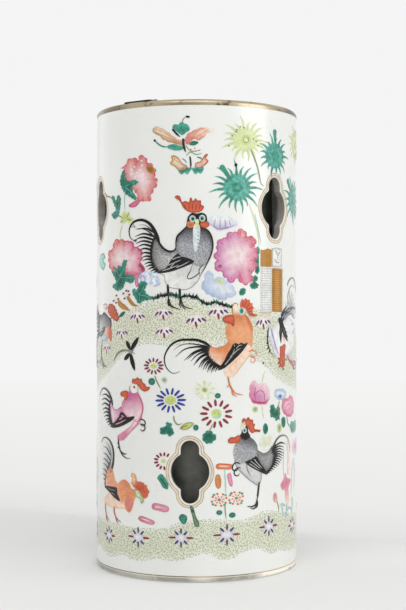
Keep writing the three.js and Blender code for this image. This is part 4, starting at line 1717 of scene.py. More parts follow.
# Pink rooster facing right with its head turned back
pinkRooster = {
    "sickle": stroke([
        (-58.4, 101), (-60.2, 105.4), (-63.6, 109), (-69.1, 110.8), (-74, 109.6), (-78.4, 105.6),
    ], 1.7, "charcoal", tip=0.9),
    "tail": feathers(
        [(-60.5, 105), (-62, 98), (-60.4, 92), (-57, 88.6)],
        [
            (-73, 106.4), (-74, 103.4), (-73.6, 100.4), (-72, 97.6), (-70.8, 95.4), (-69.4, 93.4),
            (-67.6, 91.6), (-66, 90), (-64, 88.8), (-61.6, 88),
        ],
        1.35, "ink", -0.12,
    ),
    "tailRoot": fill([
        (-60, 105), (-62.6, 102), (-63.6, 97), (-62.4, 91.6), (-58.6, 88.4), (-58.4, 92), (-60.4, 98),
    ], "ink", "charcoal", rimWidth=1.0, level=2),
    "saddle": fill(
        [
            (-60.6, 102.6), (-57.6, 99.6), (-54, 99), (-49.4, 101), (-46, 98), (-47.6, 94.8), (-53, 93.4),
            (-57.6, 90.4), (-60, 95),
        ],
        "blush", "orchid", rimWidth=1.6, level=3, fade=((-58, 97), (-50, 97), "orchid"),
        rimFade=((-58, 97), (-50, 99), "magenta"),
    ),
    "breast": fill([
        (-43.6, 110.2), (-47, 106), (-49.4, 102.6), (-47.6, 97.4), (-44.6, 95), (-40.2, 93.6), (-36.6, 92.4),
        (-34, 96.4), (-32.9, 101.6), (-34.6, 106), (-36.6, 110.2), (-40, 111.4),
    ], "magenta", "rose", rimWidth=1.2, level=4, fade=((-42, 108), (-40, 96), "blush")),
    "thigh": fill(
        [
            (-53.4, 83.2), (-51.2, 84.6), (-47.7, 86.4), (-42, 90), (-39.6, 93), (-35.4, 96), (-33.6, 95.4),
            (-36, 91), (-41, 87.2), (-46, 82.6), (-49.9, 80.7), (-53.4, 81.6),
        ],
        "rose", "orchid", rimWidth=1.6, level=3, fade=((-44, 84), (-41, 91), "blush"),
        rimFade=((-44, 83), (-46, 89), "pink"),
    ),
    "wing": fill([
        (-59.8, 88.2), (-55, 92.2), (-52.2, 94.6), (-50.4, 97.6), (-47.4, 97.2), (-44.8, 95), (-38.8, 95.4),
        (-44.9, 91.2), (-52, 88.6),
    ], "ink", "charcoal", rimWidth=0.8, level=5, roundness=0.6),
    "wingLights": strokes([
        [(-55, 90), (-50, 91.6), (-45.6, 93.6)], [(-51.4, 93), (-48.4, 94.8)], [(-49.8, 95.6), (-47, 95)],
    ], 0.6, "pink", level=6),
    "head": [
        fill([
            (-42.8, 113), (-40.4, 115.2), (-37.4, 114.8), (-36.4, 112), (-37.4, 109.8), (-41, 109.6),
        ], "white", "cream", rimWidth=1, level=5, line=("dove", 0.25)),
        dot((-39.2, 112.9), (2.4, 2.4), "shell", level=6),
        dot((-39.1, 112.9), (1.3, 1.3), "ink", level=7),
        stroke([(-42.4, 113.6), (-43, 112), (-42.6, 110.6)], 0.5, "ochre", level=6),
    ],
    "comb": fill([
        (-40.8, 115.4), (-40.2, 118), (-38.4, 117.6), (-36.8, 118.8), (-35.2, 117.6), (-34.2, 118.2),
        (-33.2, 115.8), (-31.8, 115.2), (-30.4, 113.4), (-28.2, 113.4), (-29.4, 111.4), (-32, 110.6),
        (-34.4, 111.8), (-36.8, 114.4),
    ], "coral", "deepCoral", rimWidth=0.9, level=6, roundness=0.8),
    "wattle": fill([
        (-50.4, 109.2), (-47.4, 110.4), (-44.3, 110.2), (-44, 106.6), (-46.2, 104.8), (-47.6, 107),
        (-49.8, 107),
    ], "coral", "deepCoral", rimWidth=0.9, level=6),
    "claws": [
        stroke([
            (-36, 93.6), (-33.4, 94.2), (-31.4, 92.6), (-32.4, 90.4), (-34.6, 91),
        ], 0.7, "charcoal", level=5),
        stroke([
            (-35, 91.4), (-32.2, 91), (-31.6, 88.6), (-33.4, 87.4), (-35, 88.4),
        ], 0.7, "charcoal", level=5),
    ],
    "leg": [
        stroke([
            (-52.6, 82), (-52, 77.4), (-49.6, 73), (-46, 70.8), (-41.8, 70.7),
        ], 1.1, "charcoal", level=4, tip=0.7),
        strokes([
            [(-50, 74.2), (-47.6, 73), (-45, 73.2)], [(-52.4, 79.4), (-53.8, 78.6)],
            [(-51.8, 77), (-53.4, 76)],
        ], 0.7, "charcoal", level=4),
    ],
    "outline": stroke([
        (-36.8, 110), (-34.4, 106), (-32.9, 101.6), (-34, 96.2), (-36.4, 92.2), (-41, 87.6),
    ], 0.5, "deepRose", level=6),
}

# Orange rooster pecking at the lower left
peckingRooster = {
    "sickle": [
        stroke([
            (-61.4, 60.4), (-58.6, 64.9), (-57.4, 70.6), (-58.4, 75.8), (-61.3, 79.3), (-65.6, 81),
            (-70.6, 80.6), (-74.6, 77.4),
        ], 2.0, "charcoal", tip=0.95),
        stroke([(-63, 62), (-60.6, 67), (-60.4, 72), (-63, 76.6), (-68, 78.8)], 0.9, "slate", tip=0.9),
    ],
    "tail": feathers(
        [(-60.4, 71), (-62.6, 63), (-66.4, 56), (-67.4, 50.6)],
        [
            (-70.8, 75.6), (-71.6, 71.4), (-71.4, 68), (-72, 64.8), (-72.6, 61.6), (-72.4, 58.4),
            (-71.4, 55.6), (-70.2, 53.2), (-69, 51.4),
        ],
        1.0, "charcoal", -0.12,
    ),
    "tailWash": fill(
        [
            (-60.6, 62), (-58.6, 68), (-58.6, 74), (-61.4, 78.4), (-66, 80), (-71.6, 78.4), (-73, 70),
            (-72, 62), (-69.6, 55), (-66, 52),
        ],
        "dove", "mist", rimWidth=1.6, fade=((-62, 68), (-70.6, 71), "white"),
        rimFade=((-60, 68), (-68, 71), "white"),
    ),
    "tailRoot": fill([
        (-60, 69), (-63, 66), (-66.6, 60), (-68.6, 54), (-67.8, 50.4), (-65.4, 55), (-63.2, 61),
    ], "charcoal", "slate", rimWidth=1.2, level=2),
    "body": fill([
        (-66, 59.2), (-63.8, 62.4), (-59.8, 63.6), (-57.8, 61), (-56.4, 57.4), (-53.4, 55), (-50.4, 56.8),
        (-47, 57.8), (-43.4, 56), (-41.2, 53), (-37.8, 52.2), (-38, 49.2), (-39.7, 45.7), (-44, 45),
        (-49, 42.6), (-53, 44.6), (-62, 48), (-66.6, 52),
    ], "orange", level=3, fade=((-42, 54), (-53, 46), "peach"), rimFade=((-44, 56), (-50, 44), "shell")),
    "bodyLines": strokes([
        [(-65, 60), (-62, 62), (-58.6, 61)], [(-65.6, 56.6), (-61, 58.6), (-57.6, 57.8)],
        [(-65, 53.6), (-60, 55), (-55.6, 54.6)], [(-52, 54.8), (-48, 55.8), (-44, 53.4)],
        [(-51, 51), (-46.6, 52), (-42, 49.6)], [(-49.4, 47.6), (-45.6, 48.6), (-42, 47)],
    ], 0.5, "salmon", level=4),
    "belly": fill([
        (-69.4, 42.2), (-67, 45.6), (-62, 48), (-55, 46.4), (-50, 45), (-46, 44), (-45.4, 40.6),
        (-49.1, 40.4), (-56.3, 39.9), (-63.4, 40.3),
    ], "shell", "apricot", rimWidth=1.2, level=2),
    "wing": fill([
        (-67.4, 51.4), (-61, 52.3), (-54, 52.2), (-53.2, 48.4), (-51, 44.7), (-56.3, 45.9), (-62, 48.6),
    ], "ink", "charcoal", rimWidth=1, level=4, roundness=0.6),
    "wingLights": strokes([
        [(-63.4, 50.8), (-58.4, 50.4), (-54.8, 50.6)], [(-60, 48.9), (-55, 47.4)],
    ], 0.6, "slate", level=5),
    "wattle": fill([
        (-45.8, 46), (-43, 48), (-40, 46), (-40.6, 42.6), (-43, 38.9), (-45.4, 40.2), (-46.6, 43.4),
    ], "salmon", "orange", rimWidth=1.2, level=5, lobes=(0.4, 2)),
    "comb": fill(
        [
            (-41.6, 61.4), (-39.8, 62), (-38.2, 60.6), (-37.2, 57.4), (-35.2, 57.4), (-33.2, 57), (-31.8, 56),
            (-30.4, 55.2), (-30, 53.4), (-28.9, 52.6), (-29.6, 50.6), (-30.2, 48.9), (-32.9, 48.2),
            (-34.9, 51), (-38.9, 53.7), (-41.2, 56.2), (-40.6, 59),
        ],
        "coral", rimWidth=1.2, level=4, roundness=0.8, lobes=(0.6, 2.2),
        fade=((-37, 56.6), (-39.6, 59), "shell"), rimFade=((-37, 56), (-40, 60), "amber"),
    ),
    "combLines": strokes([
        [(-36, 56), (-33.4, 51.4)], [(-33.6, 55.8), (-31.6, 51)], [(-38, 55.2), (-35, 52.4)],
    ], 0.5, "deepCoral", level=5),
    "head": [
        fill([
            (-38.6, 52.6), (-36, 52.2), (-33.4, 49.6), (-32.4, 46.2), (-34, 44.8), (-35, 47.4), (-38, 48.8),
        ], "paleLime", "moss", rimWidth=0.8, level=5),
        dot((-36.2, 50.8), (1.8, 1.6), "white", heart="ink", level=6),
    ],
    "legs": [
        stroke([
            (-67.8, 42), (-67.4, 37.7), (-65.6, 33.6), (-62, 31.4),
        ], 1.3, "orange", towards="slate", tip=0.8),
        stroke([
            (-57, 40.6), (-56.6, 37), (-54.1, 33.8), (-49.7, 32),
        ], 1.3, "coral", towards="slate", tip=0.8),
        strokes([
            [(-66.6, 35), (-66, 32), (-64.6, 30.6)], [(-55.4, 35), (-54.4, 32.4), (-52.6, 31.2)],
        ], 0.7, "deepCoral"),
    ],
}

# Small flowers between the lower roosters and the lower window
lowerSprigs = {
    "halfDaisy": [
        rays((-19.4, 70.4), 3.6, 6.4, 9, 1.2, "wine", 0.82, 60, 240, tip=0.25, level=2),
        dot((-19.6, 70.5), (3.2, 2.6), "paleLime", heart="lime", level=2),
    ],
    "leafBlade": stroke([
        (-22.6, 62), (-20.4, 59.6), (-18.6, 56.6), (-17.2, 54.2),
    ], 4.2, "jade", tip=0.3, level=1),
    "leafVein": stroke([(-22, 61), (-19.8, 58.4), (-17.8, 55.2)], 0.9, "deepJade", level=2),
    "capsules": [
        fill([
            (-27.2, 43.4), (-26, 45.6), (-21.6, 45.4), (-16.8, 44), (-16.4, 41.6), (-18.6, 40.7), (-23, 41.4),
            (-26.4, 42),
        ], "pink", "rosewood", rimWidth=1.4, fade=((-21, 44), (-26, 43), "rosewood")),
        fill([
            (-36.4, 36.2), (-34.6, 37.6), (-30, 36.6), (-25.6, 35.2), (-25.2, 33.6), (-27.2, 32.8),
            (-32, 33.6), (-35.8, 34.8),
        ], "rosewood", rimWidth=1.3, fade=((-33, 36), (-28, 35), "pink")),
        fill([
            (11, 67.6), (12.4, 69.2), (17, 69), (21, 68.4), (21.6, 66.8), (19.6, 65.6), (15, 65.8), (12, 66),
        ], "orange", "coral", rimWidth=1.1),
        fill([
            (10.6, 60), (11.6, 62.8), (13.4, 62.6), (14.4, 59), (14, 55.6), (12.6, 54.4), (11.2, 56),
        ], "orange", "ochre", rimWidth=1),
        fill([
            (18, 62.4), (19.8, 63.6), (21, 60.4), (21.4, 56.4), (20.4, 55.4), (19, 57.4),
        ], "pink", "rose", rimWidth=0.9),
        strokes([
            [(-25, 43.6), (-20, 43.2)], [(-34, 36), (-28.6, 35)], [(13, 67.8), (19, 67.4)],
        ], 0.6, "blush", level=2),
    ],
    "capStem": stroke([(16.4, 65.8), (16.8, 59), (17.2, 51.6)], 0.7, "paleJade"),
    "spottedFlowers": [
        [
            dot(centre, (9, 7), "cream", level=1),
            rays(centre, 1.6, 3.4, 8, 0.9, "rose", 0.8, 10, level=2),
            dots(
                [
                    (centre[0] + 4.4 * math.cos(math.radians(a)), centre[1] + 3.6 * math.sin(math.radians(a)))
                    for a in range(15, 360, 45)
                ],
                (1.4, 1.2), "coral", level=2,
            ),
            dots(
                [
                    (centre[0] + 4.9 * math.cos(math.radians(a)), centre[1] + 3.9 * math.sin(math.radians(a)))
                    for a in range(40, 360, 90)
                ],
                (1.7, 1.4), "seaJade", level=2,
            ),
            dot(centre, (2, 1.7), "moss"),
        ]
        for centre in ((13.2, 48.1), (23.6, 48.6))
    ],
    "leafDots": [
        fill([
            (-10.4, 38), (-8.6, 40), (-5.8, 38.8), (-5.6, 36.6), (-7.4, 34), (-9.6, 36),
        ], "jade", "deepJade", rimWidth=1.2),
        dot((13.2, 40.7), (3.6, 2.9), "deepJade", heart="jade"),
        dot((21.1, 38.9), (4.2, 3.1), "deepJade", heart="jade"),
    ],
    "windowStem": fill([
        (-3.9, 44.6), (-2.2, 44.4), (-0.6, 39.2), (1.6, 33.4), (-0.8, 32.8), (-2.4, 38.4),
    ], "moss", "deepJade", rimWidth=0.8),
    "lowStem": stroke([(16.6, 45), (16.8, 41), (17.4, 36.4)], 0.6, "moss"),
}


def ringOf(centre, wide, high, count):
    turns = [2 * math.pi * index / count for index in range(count)]
    return [(centre[0] + wide * math.cos(turn), centre[1] + high * math.sin(turn)) for turn in turns]


# A burst: a soft disc with a ring, curved pointed leaves all round and one broad blade
def burst(centre, disc, reach, count, colour, dark, squash=0.86, blade=None, curl=0.9):
    marks = []
    for index in range(count):
        angle = 2 * math.pi * index / count
        side = curl * (1 if math.cos(angle) > 0 else -1)
        length = reach * (0.9 + 0.14 * math.cos(3.7 * index))
        spots = []
        for share, lean in ((0.75 * disc, 0), ((disc + length) / 2, 0.3), (length, -0.9)):
            out = share * math.cos(angle) - lean * side * math.sin(angle)
            up = share * math.sin(angle) + lean * side * math.cos(angle)
            spots.append((centre[0] + out, centre[1] + squash * up))
        marks.append(stroke(spots, 2.1, colour, tip=0.95, level=1))
        marks.append(stroke(spots[:2], 0.5, dark, level=3, tip=0.9))
    marks.append(fill(ringOf(centre, disc, squash * disc, 12), colour, level=2))
    small = ringOf(centre, 2.9, 2.5, 8)
    heart = "moss" if colour == "paleLime" else dark
    marks.append(fill(small, heart, colour, level=3, rimWidth=0.4, line=(dark, 1.0)))
    marks.append(dot(centre, (3, 2.6), colour, level=5))
    if blade:
        marks.append(stroke(blade, 3.2, dark, tip=0.9, level=4))
    return marks


burstSpray = {
    "limeBurst": burst((29.8, 258), 8, 16, 18, "paleLime", "lime"),
    "limeDots": dots([
        (24, 263.6), (26.2, 265.4), (28.4, 265), (35, 258.8), (37, 257.4), (38.4, 255.2), (23.4, 262.4),
        (21, 259.8), (19, 254),
    ], (1.1, 0.9), "moss", level=5),
    "tealBurst": burst(
        (24.3, 230),
        8.6, 17.5, 19, "seaJade", "jade", 0.92, [(14, 242.4), (17, 239), (21, 234.6)],
    ),
    "tealBurstRight": burst(
        (52.8, 250.3),
        8.6, 15, 17, "seaJade", "jade", 0.88, [(52.4, 266), (52.6, 261), (52.8, 256.6)],
    ),
    "stem": stroke([
        (33, 253), (35.6, 248), (38, 242.6), (39.8, 236), (40.8, 232.8), (43, 231.6),
    ], 0.8, "moss", level=4),
    "bud": [dot((23.4, 243), (1.9, 2.1), "ink"), stroke([(23.6, 242), (24, 238)], 0.4, "deepJade")],
    "longStems": [
        stroke([(32, 221), (35.6, 212), (38.4, 203), (39.4, 195)], 0.5, "paleLime"),
        stroke([(36, 215), (38.6, 206), (40.8, 197)], 0.4, "paleJade"),
    ],
}
edgeBursts = {
    "limeBurst": burst((82, 260), 7, 14, 16, "paleLime", "lime"),
    "tealBurst": burst(
        (77, 225.5),
        8.2, 15.5, 16, "seaJade", "jade", 0.95, [(67, 237.6), (69.5, 234), (73, 230)],
    ),
}

rightPeonySpray = {
    "lilacFlower": [
        fill(
            [
                (7, 210.6), (10, 213.4), (13.6, 212.4), (17.4, 213.6), (21, 211.4), (24.4, 208.8),
                (20.4, 206.6), (15.6, 205.2), (12, 204.8), (10.4, 207.2), (6.8, 208),
            ],
            "lilac", lobes=(0.5, 3.4), fade=((15, 206), (15, 211), "white"),
            rimFade=((15, 207), (15, 211), "frost"),
        ),
        strokes([
            [(10, 207), (11, 211.8)], [(13.6, 206), (13.8, 211.6)], [(17, 206.6), (16.6, 211.6)],
            [(20, 207.6), (19, 211)],
        ], 0.8, "dusk", towards="lilac", level=2),
        stroke([(9.6, 207), (13, 205.6), (17.4, 206.2), (22, 207.6)], 0.9, "dusk", level=2),
    ],
    "bloom": peony([
        (12.8, 195), (13.7, 197.9), (16, 199.6), (18, 199.5), (19.6, 202.6), (22.9, 203.3), (25, 202.1),
        (26.6, 205), (28.8, 203.8), (29, 200.8), (31, 200.2), (33.8, 200.6), (35.5, 199), (35, 196.2),
        (36.2, 193), (36.8, 190.4), (34.4, 187.6), (35.6, 184.9), (34.4, 182), (32.9, 180.4), (33, 176.3),
        (30, 173.6), (27.4, 175.6), (26.6, 179.4), (23.6, 177.6), (20.2, 175.7), (17, 178.4), (15.6, 181.2),
        (12.4, 182.7), (11.6, 185), (13.1, 187.2), (11.7, 189.9), (12.9, 192.4),
    ], (24, 189), (("magenta", "orchid"), ("crimson", "rose")), "blush", 4.4, 8),
    "redPetal": fill([
        (31, 200.4), (34, 200.8), (35.7, 199), (35.2, 196), (33, 194.8), (31.8, 197.4),
    ], "coral", "deepRose", rimWidth=1.6, level=3),
    "orangePetal": fill([
        (25.2, 202.4), (26.6, 205.2), (29, 203.8), (28.8, 201), (26.8, 200.6),
    ], "apricot", "orange", rimWidth=1.2, level=3),
    "darkSpot": dot((13.6, 183.8), (2.4, 2.0), "wine", heart="magenta", level=4),
    "skyFlower": fill(
        [
            (5.4, 180.2), (7.6, 180.8), (9.4, 179.2), (10, 176.6), (13.6, 177.6), (17, 175.6), (20.8, 173),
            (23, 167.4), (18.6, 165.7), (15.4, 164.3), (11.4, 165.7), (8.6, 166.8), (5, 168.9), (2.9, 172.7),
            (4.6, 176),
        ],
        "white", "sky", rimWidth=4, lobes=(0.7, 4), fade=((18, 176), (7, 168), "sky"),
        rimFade=((16, 178), (8, 167), "steel"),
    ),
    "skyLines": strokes([
        [(8.4, 168.4), (10.4, 170.6)], [(13, 166.4), (13.8, 169.6)], [(18, 167.4), (16.8, 170.4)],
        [(5, 172.4), (8, 173)],
    ], 0.6, "sky"),
    "skyHeart": fill([
        (12, 174.6), (13.2, 176.4), (15.4, 175.4), (15, 173.6), (13, 173.4),
    ], "lime", "paleLime", rimWidth=0.8, level=3),
    "leaves": [
        stroke([(38, 193), (38.4, 187), (38, 181)], 1.5, "deepJade", even=True, level=1),
        [
            fill([
                (s - 1.6, z), (s - 0.6, z + 2.1), (s + 0.9, z + 2.4), (s + 1.7, z), (s + 0.6, z - 2.2),
                (s - 0.9, z - 1.8),
            ], "deepJade", "jade", rimWidth=1, lobes=(0.5, 2))
            for s, z in ((37.9, 193), (37.4, 187.2), (37.8, 182))
        ],
        fill([
            (32.8, 173.6), (34.6, 174.6), (35.6, 178.4), (37.6, 178.2), (38.2, 176.4), (36.8, 174.8),
            (38.8, 173.2), (37.4, 171.2), (33.8, 171.2),
        ], "deepJade", "jade", rimWidth=1, lobes=(0.5, 2)),
        fill([
            (25.6, 168), (26.8, 170.8), (29.6, 170.6), (29, 167.8), (26.8, 167),
        ], "deepJade", "jade", rimWidth=1, lobes=(0.5, 2)),
    ],
}

# A rail of woven panels: ochre and white, upright and crossed
fence = {
    "ochreTop": fill([
        (40.4, 184), (49.4, 184), (49.4, 194.2), (46, 194.8), (43, 193.8), (40.4, 194),
    ], "ochre", roundness=0.05, grid=2),
    "whiteTop": fill([
        (50, 184), (59.4, 184), (59.4, 195), (54, 195.6), (50, 195),
    ], "white", "ash", rimWidth=1.2, roundness=0.05),
    "topMarks": strokes([
        [(53, 194), (55.4, 191), (54.4, 188)], [(57.6, 193.4), (55.6, 190.6)],
        [(52, 188.6), (54.6, 186.6), (57.4, 187)],
    ], 0.8, "ash", level=2),
    "whitePanel": fill([
        (40.6, 157.4), (49.4, 157.2), (49.4, 183.2), (40.6, 183.4),
    ], "white", "mist", rimWidth=1, roundness=0.05),
    "whiteBars": [
        strokes(
            [[(s, 157.8), (s, 183)] for s in (42, 43.7, 45.4, 47.1, 48.7)],
            0.3, "mist", even=True, level=2,
        ),
        strokes(
            [[(40.9, 158.6 + 1.42 * step), (49.2, 158.6 + 1.42 * step)] for step in range(18)],
            0.24, "ash", even=True,
        ),
    ],
    "ochrePanel": fill([(50, 157.4), (59.9, 157), (59.9, 183), (50, 183.2)], "ochre", roundness=0.05, grid=2),
    "ochreLight": fill([
        (51.4, 157.6), (58, 157.6), (58, 182.9), (51.4, 182.9),
    ], "amber", "ochre", rimWidth=3, roundness=0.05, level=2),
    "ochreBars": strokes(
        [[(50.2, 158.4 + 1.3 * step), (59.7, 158.3 + 1.3 * step)] for step in range(19)],
        0.22, "umber", even=True,
    ),
    "edge": stroke([(61.4, 157), (61.3, 170), (61.2, 183.6)], 1.1, "cream", even=True, level=2),
    "foot": strokes([
        [(40, 157), (45, 156.6), (49.6, 157)], [(50, 184), (50, 195)],
    ], 0.4, "gilt", even=True, level=4),
}

# Orange rooster in the middle, its tail swept to the left
orangeRooster = {
    "sickle": [
        stroke([
            (8.6, 136.8), (4.6, 139.4), (0, 141), (-5.4, 141.2), (-10, 140.8), (-13.9, 139), (-17, 135.6),
            (-19, 131), (-18.6, 126.6), (-16.6, 123.4), (-13.7, 121.6), (-9.5, 122.7),
        ], 1.7, "ink", tip=0.95),
        stroke([(8, 136.6), (2.9, 138), (-5.4, 138.8), (-10, 137.6), (-13.7, 135)], 0.8, "ink", tip=0.9),
        stroke([(7.4, 136.8), (-0.4, 137), (-7, 135.6), (-12.4, 131.2)], 1.3, "ink", tip=0.9),
    ],
    "tail": feathers(
        [(7.8, 137), (7.3, 133.8), (8.9, 130.4), (11.6, 128), (14.4, 125.8)],
        [
            (-7.4, 129), (-5.6, 129.6), (-3.6, 128.6), (-1.8, 126.2), (-0.6, 127.4), (1, 124.6), (2.4, 125),
            (3.6, 123.6), (5, 123.8), (6.2, 122.2), (7.4, 123), (8.4, 121.9), (9.6, 122.9), (10.8, 122.4),
            (12.4, 123.2),
        ],
        1.15, "ink", -0.1,
    ),
    "tailRoot": fill([
        (8.6, 137.4), (6.2, 136.9), (4.8, 134.8), (5.6, 132), (8.4, 128.8), (13, 125.2), (14, 126.4),
        (10, 129.6), (7.9, 132.8),
    ], "ink", "charcoal", rimWidth=0.8, level=2),
    "saddle": fill(
        [
            (7.2, 137.2), (11.2, 136.6), (14.6, 137.2), (17.4, 138.9), (19.6, 141.4), (22, 139),
            (20.4, 135.6), (17.6, 130.6), (14.2, 126.4), (11.4, 127.4), (8.4, 130), (6.8, 133.4),
        ],
        "orange", rimWidth=2.2, level=3, fade=((14, 135), (10.4, 127.6), "shell"),
        rimFade=((13, 133), (9.4, 129), "shell"),
    ),
    "breast": fill(
        [
            (21.4, 156.2), (19.6, 153.6), (18.2, 151), (17.2, 147.4), (17.2, 144.4), (18, 141.2), (19.4, 139),
            (22.6, 137.6), (27, 138), (31.4, 138.2), (33.8, 136.6), (34.6, 140.4), (34.6, 145), (33.4, 149.4),
            (31.2, 152.4), (29.6, 154.8), (29.2, 157.4), (25, 158.4),
        ],
        "rust", "orange", rimWidth=5, level=4, fade=((26, 156), (25, 148), "peach"),
        rimFade=((20, 150), (32, 140), "peach"),
    ),
    "shoulder": stroke([
        (29.8, 155.6), (31.4, 152.4), (33.4, 148.4), (34, 144),
    ], 2.2, "rust", towards="orange", tip=0.9, level=6, leaf=True),
    "belly": fill([
        (16.1, 123), (18, 125.6), (22, 129), (27, 133.4), (31.4, 138), (34.2, 137), (33.3, 133.8),
        (31.2, 130.4), (27.9, 127.2), (24.5, 122.9), (22, 120.2), (18.7, 119.3), (16.6, 120.8),
    ], "shell", rimWidth=2.6, level=3, fade=((20, 122), (30, 132), "shell")),
    "bellyLines": strokes([
        [(34, 136.8), (32.6, 132.4), (28.2, 127.4), (24.4, 122.8), (21.8, 120), (18.6, 119.2)],
        [(18.6, 124.8), (23.4, 128.4), (28.4, 133)],
    ], 0.3, "peach", level=5),
    "wing": fill([
        (12.5, 123.6), (14.4, 126.6), (16.4, 129.4), (17.9, 132.6), (20.2, 136), (21.4, 138.4), (23.2, 139.2),
        (25, 138.4), (26.6, 139.4), (28.6, 138.6), (31, 139.2), (28.9, 136), (25.6, 132.4), (22.9, 130),
        (19.6, 127.2), (16.2, 124.6),
    ], "ink", "charcoal", rimWidth=0.6, level=5, roundness=0.6),
    "wingLights": strokes([
        [(16.4, 126.4), (19, 129.4), (21.6, 132)], [(19.6, 130.8), (21.6, 133.2), (22.4, 136)],
        [(21.6, 132.4), (24, 134.8), (26.6, 136.2)], [(23.4, 135.6), (25, 137.4), (27.4, 138)],
        [(22.4, 137), (22.2, 138.4)],
    ], 0.5, "ash", level=6),
    "head": [
        fill(
            [
                (21, 158.8), (22, 161.6), (24, 162.2), (26.4, 161.4), (29.4, 160), (30, 157.2), (28.2, 155),
                (24.4, 154.8), (21.6, 156),
            ],
            "cream", rimWidth=1.8, level=6, fade=((24, 158.6), (24, 155), "orange"),
            rimFade=((24, 160), (24, 156), "orange"),
        ),
        stroke([
            (21.2, 156.6), (21.2, 160.2), (22.4, 162.2), (24.4, 161.6), (24, 159.6),
        ], 0.55, "ochre", level=7),
        dot((27, 157.7), (4.0, 4.8), "mist", level=7),
        dot((26.9, 157.8), (2.5, 3.4), "seaJade", heart="deepJade", level=8),
    ],
    "wattle": fill([
        (15, 152.4), (15.8, 154.2), (18, 155.3), (21.4, 155.4), (22.4, 152.4), (21.8, 148.9), (20, 150.4),
        (17.4, 150.8),
    ], "coral", "deepCoral", rimWidth=0.5, level=7),
    "comb": fill([
        (26, 159.8), (26.4, 163), (27.6, 164.9), (28.6, 163.8), (29.6, 165.4), (30.8, 164.2), (32.4, 164.4),
        (32.6, 162.6), (34.4, 162.2), (34.2, 160.6), (35.4, 159.8), (34.2, 158.2), (34.4, 156.6),
        (37.9, 155.2), (35.8, 154.6), (32.9, 154.8), (31.4, 156.4), (29.4, 159),
    ], "coral", level=7, roundness=0.7),
    "combLines": strokes([
        [(27.6, 160.4), (28, 163.8)], [(28.8, 160), (30, 163.8)], [(29.8, 159.2), (32.2, 162.6)],
        [(30.4, 158.2), (34, 160.2)], [(31, 157.2), (34.2, 157.6)], [(31.8, 156), (36, 155.2)],
    ], 0.6, "deepCoral", level=8),
    "claws": [
        stroke([
            (31.6, 133.8), (34, 134.8), (36.8, 134), (37.2, 131.6), (35, 131.2), (34.4, 132.8),
        ], 0.6, "rust", towards="apricot", level=5),
        stroke([
            (32.6, 131.4), (35, 130.6), (36.4, 128.8), (34.6, 127.6), (33, 128.9), (34, 130),
        ], 0.6, "rust", towards="apricot", level=5),
    ],
    "leg": [
        stroke([
            (18.6, 120), (19.4, 115.6), (21.6, 110.6),
        ], 1.3, "apricot", towards="orange", level=4, tip=0.3),
        stroke([(18.3, 119.8), (19.1, 115.6), (21.4, 110.8)], 0.45, "umber", level=5),
        strokes([
            [(20.8, 112.8), (23.4, 109.8), (28.2, 108.7)], [(20.8, 112.4), (22, 109.6), (24, 107.6)],
            [(20.8, 112.2), (21, 110), (21.8, 108)], [(19.6, 115), (18.4, 114.2), (17.9, 113)],
        ], 0.6, "orange", level=4),
    ],
}

